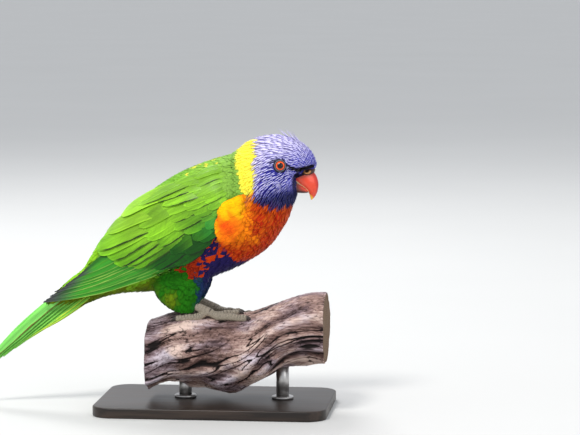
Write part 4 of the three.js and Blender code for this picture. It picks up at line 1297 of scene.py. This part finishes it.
def add_eye(side_name, side):
    turn = circle(EYE_SIDES)[None]
    bend = np.linspace(2.2, 0.01, 96)[:, None]
    radius = EYE_RADIUS * np.sin(bend)
    cornea = 0.4 * (1 - smooth(radius / IRIS)) * (bend < 1.5)
    ball = lofted(around_eye(side, radius, EYE_RADIUS * np.cos(bend) + cornea))
    fibre = np.sin(turn * 41 + 3 * np.sin(turn * 7)) * np.sin(turn * 23 + radius * 3)
    iris = laid(linear(196, 44, 14), linear(246, 96, 34), smooth((radius - 2.1) / 0.8) + 0.2 * fibre)
    iris = laid(iris, linear(110, 24, 12), smooth((radius - IRIS + 0.4) / 0.3))
    shown = laid(linear(6, 5, 6), iris, smooth(smooth((radius - PUPIL) / 0.5) * 2 - 0.5))
    shown = laid(shown, linear(14, 10, 10), (radius > IRIS + 0.1) | (bend > 1.5))
    colours = {"Iris": np.clip(capped(shown), 0, 1)}
    add_piece("eyeball_" + side_name, ball, wet_eye, ["eye_" + side_name], colours)

    rows = between(LIDS, np.linspace(0, len(LIDS) - 1, 61))
    far, height, grey = (rows[:, k, None] for k in range(3))
    crease = 0.07 * np.sin(turn * 26 + 2 * np.sin(turn * 5)) * smooth(far - 4) * (far < 6)
    rings = around_eye(side, far, height + crease)
    grid = np.arange(rings.shape[0] * EYE_SIDES).reshape(rings.shape[:2])
    ahead, above = np.roll(grid, -1, axis=1), np.roll(grid, -1, axis=0)
    walls = np.stack([grid, ahead, np.roll(ahead, -1, axis=0), above], axis=-1).reshape(-1, 4)[:, ::-side]
    tone = laid(linear(24, 20, 30), linear(104, 112, 128), np.clip(np.repeat(grey, EYE_SIDES), 0, 1))
    add_piece("lids_" + side_name, (rings.reshape(-1, 3), [walls]), lid_skin, (), {"Skin": tone})


def eye_finish():
    f = Finish("wet_eye", Roughness=0.3, Specular_IOR_Level=0.1, Coat_Weight=0.7, Coat_Roughness=0.02)
    veins = f.noise(f.place(), 2500.0)
    return f.set(Base_Color=f.shade(f.attribute("Iris"), veins * 0.3 + 0.85))


def bare_skin_finish(name, roughness, grain, depth):
    f = Finish(name, Roughness=roughness, Specular_IOR_Level=0.4)
    pores = f.noise(f.place(), grain, 3.0)
    f.bump(pores, 0.5, depth)
    return f.set(Base_Color=f.shade(f.attribute("Skin"), pores * 0.6 + 0.7))


wet_eye = eye_finish()
lid_skin = bare_skin_finish("lid_skin", 0.5, 1800.0, 0.0003)
for side_name, side in SIDES.items():
    add_eye(side_name, side)


# Bill

# From the face to the tip: front edge, rear edge, half width
BILL_UPPER = np.array([
    [75.5, 113.5, 60, 107, 6.6], [77.8, 110.5, 62.2, 105.4, 6.5], [79.3, 106.5, 65.2, 103.2, 6.1],
    [79.8, 102.6, 69, 100.8, 5.2], [79.2, 98.6, 71.8, 98, 4.1], [77.9, 95.2, 73.1, 95.4, 2.8],
    [76.3, 92.9, 73.6, 93.2, 1.6], [74.6, 91.2, 73.9, 91.6, 0.4],
])
BILL_LOWER = np.array([
    [59.5, 107, 60.5, 97.4, 5.6], [63.4, 105.8, 64, 96.6, 5.5], [67, 103.6, 67.6, 96.4, 5.1],
    [70.2, 100.8, 70.8, 96.6, 4.3], [72.8, 98.6, 72.9, 97.2, 2.2],
])
BILL_KEEL = 0.3  # how much narrower the ridge of the upper bill is
CUT_EDGE = 0.86  # how far back the sides of the upper bill run before its flat rear face
HORN = linear(226, 62, 24)
CERE_PLACE, CERE_HALF, CERE_LEAN = (71.6, 0, 112.6), np.array([6, 6.6, 3.2]), -0.45
NOSTRIL = (71.4, 5.6, 113.9)


def bill_form(rows, keel, flat, fullness, count, sides):
    """Rings of one half of the bill, with the section and the forward part of each point."""
    angle = np.linspace(0, 2 * math.pi, sides, endpoint=False)[None, :]
    u = np.linspace(0, len(rows) - 1, count)[:, None] + 0 * angle
    middle, up, depth, half = section(rows, u)
    forward = np.cos(angle) + 0 * u
    side_edge = np.exp(-((forward + CUT_EDGE - 0.04) / 0.05) ** 2) * (flat > 0) * 0.18
    reach = np.sign(np.sin(angle)) * np.abs(np.sin(angle)) ** fullness
    width = reach * (half * (1 - keel * forward) + side_edge)
    height = np.where(forward < 0, np.maximum(forward / mix(1, CUT_EDGE, flat), -1), forward) * depth
    flat_place = middle + up * height[..., None]
    return np.stack([flat_place[..., 0], width, flat_place[..., 1]], axis=-1), u, forward


def add_bill_half(name, node, form, shown):
    """One half of the bill, from its rings and a function that colours them."""
    rings, u, forward = form
    horn_map = capped(vectors(u / 8, (forward + 1) / 2))
    colours = {"Skin": np.clip(capped(shown(u, forward)), 0, 1)}
    add_piece(name, lofted(rings), horn, [node], colours, {"Horn": horn_map})


def upper_colours(u, forward):
    """Redder along the ridge, brown at the face, with a pale cutting edge and a yellow tip."""
    shown = laid(HORN, linear(186, 18, 10), smooth((forward - 0.55) / 0.4) * 0.9)
    shown = laid(shown, linear(110, 34, 20), 0.7 * smooth((1.1 - u) / 1.1))
    line = np.exp(-((forward + CUT_EDGE - 0.07) / 0.11) ** 2)
    shown = laid(shown, linear(255, 232, 180), line * smooth((u - 0.6) / 0.4) * smooth((4.8 - u) / 0.8))
    return laid(shown, linear(250, 196, 50), smooth((u - 5.0 - 0.9 * forward) / 1.2))


def lower_colours(u, forward):
    """Painted shade: darker than the upper bill, and darker still at the face and underneath."""
    shown = laid(HORN * 0.8, linear(70, 18, 14), smooth((2.2 - u) / 1.6))
    return laid(shown, linear(60, 16, 14), smooth((0.1 - forward) / 0.8))


def horn_finish():
    """Glossy horn with faint growth lines across it."""
    f = Finish("horn", Roughness=0.3, Coat_Weight=0.4, Coat_Roughness=0.12)
    place = f.uv("Horn")
    lines = f.cloud(place.part("X") * 60, place.part("Y") * 2, 0.0, 3.0)
    f.bump(lines, 0.25, 0.0002)
    return f.set(Roughness=lines * 0.25 + 0.2, Base_Color=f.shade(f.attribute("Skin"), lines * 0.3 + 0.85))


def add_cere():
    down = np.linspace(0.02, math.pi - 0.02, 110)[:, None]
    around = circle(160)[None]
    ball = vectors(np.sin(down) * np.cos(around), np.sin(down) * np.sin(around), -np.cos(down))
    c, s = math.cos(CERE_LEAN), math.sin(CERE_LEAN)
    lean = np.array([[c, 0, s], [0, 1, 0], [-s, 0, c]])
    place, normal = ball * CERE_HALF @ lean.T + CERE_PLACE, unit(ball / CERE_HALF) @ lean.T
    off = np.linalg.norm((place * (1, 0, 1) + np.abs(place) * (0, 1, 0) - NOSTRIL) / (1.25, 1, 1), axis=-1)
    rim = np.exp(-((off - 1.9) / 0.5) ** 2) * smooth((114.9 - place[..., 2]) / 1.2)
    pit = np.exp(-((off / 0.9) ** 2))
    fold = np.sin(place[..., 0] * 3.1 + place[..., 2] * 1.7) * 0.05
    shape = lofted(place + normal * (0.42 * rim - 1.1 * pit + fold)[..., None])
    shown = laid(linear(62, 36, 30), linear(196, 138, 78), 0.95 * rim)
    shown = laid(shown, linear(16, 10, 8), smooth(pit * 1.6))
    add_piece("cere_skin", shape, cere_skin, ["cere"], {"Skin": np.clip(capped(shown), 0, 1)})


horn = horn_finish()
cere_skin = bare_skin_finish("cere_skin", 0.45, 1300.0, 0.0004)
add_bill_half("upper_bill", "bill_upper", bill_form(BILL_UPPER, BILL_KEEL, 1.0, 1.0, 120, 120), upper_colours)
add_bill_half("lower_bill", "bill_lower", bill_form(BILL_LOWER, 0.0, 0.0, 0.6, 70, 90), lower_colours)
add_cere()


# Limb

LIMB_ENDS = (-52, 86)
LIMB_HALF = (33, 28)
KNOTS = [(50, 3.35, 13, 5, 5), (-20, 5.6, 12, 4.5, 3)]  # place along, angle, size, height, hollow


def limb_section(x):
    """Height of the limb's middle and its half sizes across and upright."""
    rise = 17 * smooth((x - 18) / 62) - 7 * smooth((-28 - x) / 28)
    swell = 1 + 0.07 * np.sin(x / 17 + 1)
    return 2.6 + rise - LIMB_HALF[1] * swell, LIMB_HALF[0] * swell, LIMB_HALF[1] * swell


def quiet(angle, least, reach):
    """Smaller round the crown, where the feet grip."""
    off = np.arctan2(np.sin(angle - math.pi / 2), np.cos(angle - math.pi / 2))
    return 1 - (1 - least) * np.exp(-((off / reach) ** 2))


def knot_reach(x, angle, place, knot_angle, size):
    off = np.arctan2(np.sin(angle - knot_angle), np.cos(angle - knot_angle))
    return np.hypot((x - place) / size, off * LIMB_HALF[1] / size)


def gnarl(x, angle):
    """How far the limb's swellings stand out."""
    ridges = np.sin(3 * angle + x / 11) + 0.7 * np.sin(5 * angle - x / 7 + 1) + 0.5 * np.sin(x / 5)
    out = 1.3 * quiet(angle, 0.15, 0.75) * ridges
    for place, knot_angle, size, height, hollow in KNOTS:
        near = knot_reach(x, angle, place, knot_angle, size)
        out = out + height * np.exp(-near * near) - hollow * np.exp(-5 * near * near)
    return out


def limb_top(x, y):
    """Height of the limb's upper face over points of its plan."""
    middle, half_y, half_z = limb_section(x)
    angle = np.full(np.shape(x), math.pi / 2)
    for _ in range(8):
        angle = np.arccos(np.clip(y / (half_y + gnarl(x, angle)), -1, 1))
    return middle + (half_z + gnarl(x, angle)) * np.sin(angle)


def bark(x, angle):
    """How far folds and furrows of dead wood stand out, and how deep in a furrow each point is."""
    twist = angle + x * 0.007 + 0.15 * np.sin(x / 21)
    swirl = 0 * x
    for place, knot_angle, size, _, _ in KNOTS:
        swirl = swirl + 9 * np.exp(-((knot_reach(x, angle, place, knot_angle, size) / 1.5) ** 2))
    p = np.stack([x * 0.2 + swirl, 30 * np.cos(twist), 30 * np.sin(twist)], axis=-1)
    folds = ripple(p, 15, 41)
    wander = ripple(p, 9, 42)[..., None] * (0.0, 1.5, 1.5)
    furrow = np.exp(-((ripple(p + wander, 8, 43, 9) / 0.2) ** 2)) * smooth(ripple(p * 0.7, 13, 44) + 0.9)
    crack = np.exp(-((ripple(p * (2.2, 1, 1), 3.6, 45, 9) / 0.22) ** 2)) * 0.6
    fine = ripple(p * (2.5, 1, 1), 1.5, 46, 9)
    calm = quiet(angle, 0.25, 0.8)
    return calm * (1.1 * folds - 1.7 * furrow) - 0.45 * crack + 0.14 * fine, np.clip(furrow + crack, 0, 1)


def add_limb():
    angle = circle(360)[None]
    along = np.linspace(*LIMB_ENDS, 260)
    inner = np.linspace(0.03, 0.97, 34)
    place = np.concatenate([np.full(34, along[0]), along, np.full(34, along[-1])])[:, None] + 0 * angle
    part = np.concatenate([inner, [0.985], np.ones(258), [0.985], inner[::-1]])[:, None]
    out, crack = bark(place, angle)
    middle, half_y, half_z = limb_section(place)
    raised = gnarl(place, angle) + out
    cut = part < 0.98
    sawn = 0.12 * ripple(vectors(0, 40 * part * np.cos(angle), 6 * part * np.sin(angle)), 4, 48)
    split = np.exp(-((np.sin(angle * 2.5 + part * 1.3 + place * 0.1) / 0.035) ** 2))
    split = split * smooth((part - 0.35) / 0.4)
    x = place + np.where(cut, (sawn - split * 0.9) * np.sign(place), 0)
    y, z = part * (half_y + raised) * np.cos(angle), middle + part * (half_z + raised) * np.sin(angle)
    # Bark holds the depth of the cracks, the height of the bark, which the finish paints as shade in the
    # hollows and highlight on the ridges, and the sawn ends.
    marks = capped(vectors(np.where(cut, split, crack), np.clip(0.5 + out * 0.28, 0, 1), cut))
    span = capped(vectors(part + 0 * angle, 0, 0))
    shape = lofted(vectors(x, y, z))
    add_piece("limb", shape, dead_wood, ["perch_limb"], {"Bark": marks, "Span": span})


def dead_wood_finish():
    f = Finish("dead_wood", Roughness=0.85, Specular_IOR_Level=0.25)
    marks = f.attribute("Bark")
    crack, height, cut = marks.part("Red"), marks.part("Green"), marks.part("Blue")
    grain = f.noise(f.stretched(90, 520, 520), 1.0, 6.0, 0.65)
    blotch = f.noise(f.stretched(30, 60, 60), 1.0, 3.0)
    # Painted shade and highlight: the tone falls in the hollows and rises on the ridges.
    tone = height * 0.5 + grain * 0.75 - 0.05
    stops = [
        (0.24, linear(26, 18, 19)), (0.4, linear(88, 68, 66)), (0.56, linear(146, 124, 122)),
        (0.78, linear(216, 200, 198)),
    ]
    bare = f.node("ValToRGB", {"stops": stops}, tone, out="Color")
    bare = f.tint(bare, f.blend(blotch.between(0.4, 0.62), (1.0, 0.9, 0.8), (0.84, 0.86, 0.98)))
    span = f.attribute("Span").part("Red")
    rings = (span * 130 + f.noise(f.place(), 90.0) * 6).sine()
    wood = f.blend(rings.between(-1, 1), linear(92, 72, 56), linear(132, 108, 86))
    wood = f.shade(wood, grain * 0.5 + 0.7)
    colour = f.blend(cut, bare, wood)
    # Painted shade: the cracks are nearly black.
    colour = f.blend(crack.between(0.15, 0.9), colour, linear(20, 13, 12))
    f.bump(grain + rings * cut * 0.1, 0.6, 0.0008)
    return f.set(Base_Color=colour)


dead_wood = dead_wood_finish()
add_limb()


# Feet

LEG_Y = 14
TARSUS_RADIUS = 3.3
ANKLE, FOOT_JOINT = (-19, 12.5), (-5, 5.2)  # x and z
# x and y of each toe's tip, y away from the midline being positive, and the radius at its root
TOES = {"1": (-19, -7, 2.6), "2": (17, -7.5, 2.8), "3": (24, 3.5, 3.1), "4": (-27, 2.5, 3.0)}
TOE_SINK = 0.9
CLAW_LENGTH = 7.5
SCUTE = 2.3  # length of a scute along a toe


def toe_line(side, toe, t):
    """Points of a toe's middle line and its radii."""
    tip_x, tip_y, radius = TOES[toe]
    x, y = mix(FOOT_JOINT[0], tip_x, t), side * mix(LEG_Y, LEG_Y + tip_y, t)
    radius = radius * mix(1, 0.74, t) * (1 + 0.07 * np.cos(6 * math.pi * t))
    z = mix(FOOT_JOINT[1], limb_top(x, y) + radius - TOE_SINK, smooth(t / 0.35))
    return np.stack([x, y, z], axis=-1), radius


def add_foot(side_name, side):
    joint = np.array([FOOT_JOINT[0], side * LEG_Y, FOOT_JOINT[1]])
    ankle = np.array([ANKLE[0], side * LEG_Y, ANKLE[1]])
    s = np.linspace(0, 1.16, 24)
    lines = [mix(ankle, joint, s[:, None])]
    parts = [tube(lines[0], TARSUS_RADIUS * np.interp(s, [0, 0.5, 1, 1.16], [1, 0.92, 1.08, 0.6]), 28)]
    for toe in TOES:
        line, radius = toe_line(side, toe, np.linspace(0, 1, 40))
        end = line[-1] + unit(line[-1] - line[-2]) * np.array([[0.4], [0.75], [1.0]]) * radius[-1]
        lines.append(np.vstack([line, end]))
        parts.append(tube(lines[-1], np.append(radius, radius[-1] * np.array([0.9, 0.68, 0.4])), 24))
    foot = remeshed("foot_" + side_name + "_skin", parts, 0.36, 3)
    points, normals = mesh_points(foot.data), vertex_values(foot.data, "normal")
    path = np.vstack(lines)
    nearest = np.array([np.argmin(((path - p) ** 2).sum(axis=1)) for p in points])
    scute = np.abs(np.sin(math.pi * np.concatenate([distances(line) for line in lines])[nearest] / SCUTE))
    top = smooth((normals[:, 2] + 0.1) / 0.5)
    pad = smooth((-normals[:, 2] - 0.2) / 0.5)
    grain = ripple(points, 1.4, 61)
    relief = 0.26 * top * scute**0.5 + 0.12 * pad * scute + 0.05 * grain
    move_points(foot.data, points + normals * relief[:, None])
    # Painted shade in the grooves between the scutes on the top of each toe.
    tone = laid(linear(156, 146, 130), linear(62, 56, 48), 0.9 * (1 - scute**0.5) * top)
    tone = laid(tone, linear(186, 174, 150), 0.5 * pad)
    paint(foot.data, {"Skin": tone * (1 + 0.08 * grain)[:, None]})
    finished(foot, scaled_skin, ["foot_" + side_name])

    claws = []
    for toe in TOES:
        line, radius = toe_line(side, toe, np.linspace(0, 1, 9))
        t = np.linspace(-0.12, 1, 30)
        ahead = CLAW_LENGTH * np.sin(1.25 * t) / 1.25
        drop = 0.6 * np.sin(2.4 * np.maximum(t, 0)) - 0.55 * CLAW_LENGTH * (1 - np.cos(1.25 * t))
        curve = line[-1] + unit(line[-1] - line[-2]) * (0.32 + ahead)[:, None] + (0, 0, 1) * drop[:, None]
        size = mix(radius[-1] * 0.74, 0.12, np.clip(t, 0, 1) ** 1.2)
        claws.append(tube(curve, vectors(size * 0.82, size * 1.08), 26))
    shape = joined(claws)
    colours = {"Skin": linear(52, 46, 42) * (ripple(shape[0], 3, 63)[:, None] * 0.1 + 1)}
    nodes = [f"claw_{side_name}_{toe}" for toe in TOES]
    add_piece("claws_" + side_name, shape, claw_horn, nodes, colours)


def scaled_skin_finish():
    """Dry skin with small round scales, darkened along the creases between them as painted shade."""
    f = Finish("scaled_skin", Roughness=0.62, Specular_IOR_Level=0.35)
    scales = f.node("TexVoronoi", {"feature": "DISTANCE_TO_EDGE"}, Vector=f.place(), Scale=1150.0)
    scales = scales.between(0.0, 0.16)
    grain = f.noise(f.place(), 2600.0, 2.0)
    f.bump(scales + grain * 0.2, 0.6, 0.00025)
    return f.set(Base_Color=f.shade(f.attribute("Skin"), scales * 0.4 + grain * 0.3 + 0.5))


scaled_skin = scaled_skin_finish()
claw_horn = bare_skin_finish("claw_horn", 0.32, 900.0, 0.0001)
for side_name, side in SIDES.items():
    add_foot(side_name, side)


# Stand

BASE_LENGTH, BASE_WIDTH, BASE_THICK, BASE_CORNER, BASE_BEVEL = 180, 112, 8, 16, 1.2
ROD_RADIUS = 5
ROD_PLACES = [(-24, 0), (52, 0)]
COLLAR_RADIUS, COLLAR_HEIGHT = 8.5, 2.4


def add_base():
    angle = circle(96)
    quarter = np.linspace(0, math.pi / 2, 9)
    inset, height = BASE_BEVEL * (1 - np.sin(quarter)), BASE_BEVEL * (1 - np.cos(quarter))
    inset = np.concatenate([inset, inset[::-1], [30]])
    height = np.concatenate([height, BASE_THICK - height[::-1], [BASE_THICK]]) - SOLE_HEIGHT
    round_it = vectors(np.cos(angle), np.sin(angle))
    heart = np.sign(round_it) * (BASE_LENGTH / 2 - BASE_CORNER, BASE_WIDTH / 2 - BASE_CORNER)
    radius = np.maximum(BASE_CORNER - inset, 0.5)[:, None, None]
    flat = heart * np.where(inset > BASE_CORNER, 0.4, 1.0)[:, None, None] + round_it * radius
    rings = vectors(flat[..., 0], flat[..., 1], height[:, None])
    add_piece("base", lofted(rings), varnish, ["stand_base"])


def turned_form(profile, x, y):
    """A turned form about an upright line, from its radii and heights."""
    angle = circle(96)
    radius, height = np.array(profile, float).T[..., None]
    return lofted(vectors(x + radius * np.cos(angle), y + radius * np.sin(angle), height))


def add_rods():
    low = BASE_THICK - SOLE_HEIGHT
    bevel = [(math.cos(a) - 1, math.sin(a) - 1) for a in np.linspace(0, math.pi / 2, 7)]
    collar = [(COLLAR_RADIUS + 0.8 * c, low + COLLAR_HEIGHT + 0.8 * s) for c, s in bevel]
    collar = [(COLLAR_RADIUS, low - 0.2)] + collar + [(ROD_RADIUS - 0.5, low + COLLAR_HEIGHT)]
    for i, (x, y) in enumerate(ROD_PLACES, 1):
        middle, _, half_z = limb_section(np.float64(x))
        top = float(middle - half_z) + 6
        rod = [(ROD_RADIUS, low + 0.3), (ROD_RADIUS, mix(low, top, 0.5)), (ROD_RADIUS, top)]
        shape = joined([turned_form(collar, x, y), turned_form(rod, x, y)])
        add_piece(f"rod_{i}", shape, rod_metal, [f"stand_rod_{i}"])


def varnish_finish():
    f = Finish("dark_varnish", Coat_Weight=0.15, Coat_Roughness=0.3, Specular_IOR_Level=0.3)
    grain = f.noise(f.stretched(14, 260, 260), 1.0, 5.0, 0.6)
    f.bump(grain, 0.15, 0.0003)
    colour = f.blend(grain.between(0.35, 0.7), linear(30, 24, 21), linear(58, 46, 39))
    return f.set(Roughness=grain * 0.2 + 0.32, Base_Color=colour)


def rod_finish():
    f = Finish("rod_metal", Metallic=1.0)
    brushed = f.noise(f.stretched(300, 300, 4000), 1.0, 3.0)
    colour = f.blend(brushed, (0.42, 0.41, 0.4), (0.55, 0.54, 0.53))
    return f.set(Roughness=brushed * 0.25 + 0.22, Base_Color=colour)


varnish = varnish_finish()
rod_metal = rod_finish()
add_base()
add_rods()


# Camera, light and floor

TARGET = Vector((57.75, 0, 77.4 + SOLE_HEIGHT)) * MM
FRAME_WIDTH = 0.4466  # across the view at the bird
DISTANCE = 2.0
FLOOR_REACH = 60000
AZIMUTH, ELEVATION = math.radians(6), math.radians(6)


def add_camera():
    level = math.cos(ELEVATION)
    back = Vector((math.sin(AZIMUTH) * level, -math.cos(AZIMUTH) * level, math.sin(ELEVATION)))
    camera = placed("camera", bpy.data.cameras.new("camera"))
    camera.location = TARGET + back * DISTANCE
    camera.rotation_euler = (-back).to_track_quat("-Z", "Y").to_euler()
    camera.data.sensor_width = 36
    camera.data.lens = camera.data.sensor_width * DISTANCE / FRAME_WIDTH
    camera.data.clip_end = 200
    bpy.context.scene.camera = camera


def add_light(name, place, size, power, colour=(1, 1, 1)):
    lamp = bpy.data.lights.new(name, "AREA")
    lamp.shape = "DISK"
    lamp.size = size
    lamp.energy = power
    lamp.color = colour
    holder = placed(name, lamp)
    holder.location = place
    holder.rotation_euler = (TARGET - Vector(place)).to_track_quat("-Z", "Y").to_euler()


def add_stage():
    x, y = np.array([(-1, 1, 1, -1), (-1, -1, 1, 1)]) * FLOOR_REACH
    floor = new_object("floor", vectors(x, y, -SOLE_HEIGHT), [[(0, 1, 2, 3)]])
    pale = Finish("floor_paint", Roughness=0.9)
    tone = pale.blend(pale.noise(pale.place(), 3.0), (0.58, 0.58, 0.57), (0.61, 0.61, 0.6))
    floor.data.materials.append(pale.set(Base_Color=tone))
    world = bpy.data.worlds.new("studio")
    bpy.context.scene.world = world
    world.use_nodes = True
    sky = world.node_tree.nodes["Background"].inputs
    sky["Color"].default_value = (0.92, 0.95, 1.0, 1)
    sky["Strength"].default_value = 0.85


add_camera()
add_light("key", (-0.5, -1.2, 1.9), 0.5, 29, (1.0, 0.98, 0.94))
add_light("fill", (1.6, -1.2, 0.9), 1.2, 7)
add_light("rim", (-0.6, 1.2, 1.6), 0.8, 22)
add_stage()
bpy.context.scene.view_settings.view_transform = "Standard"
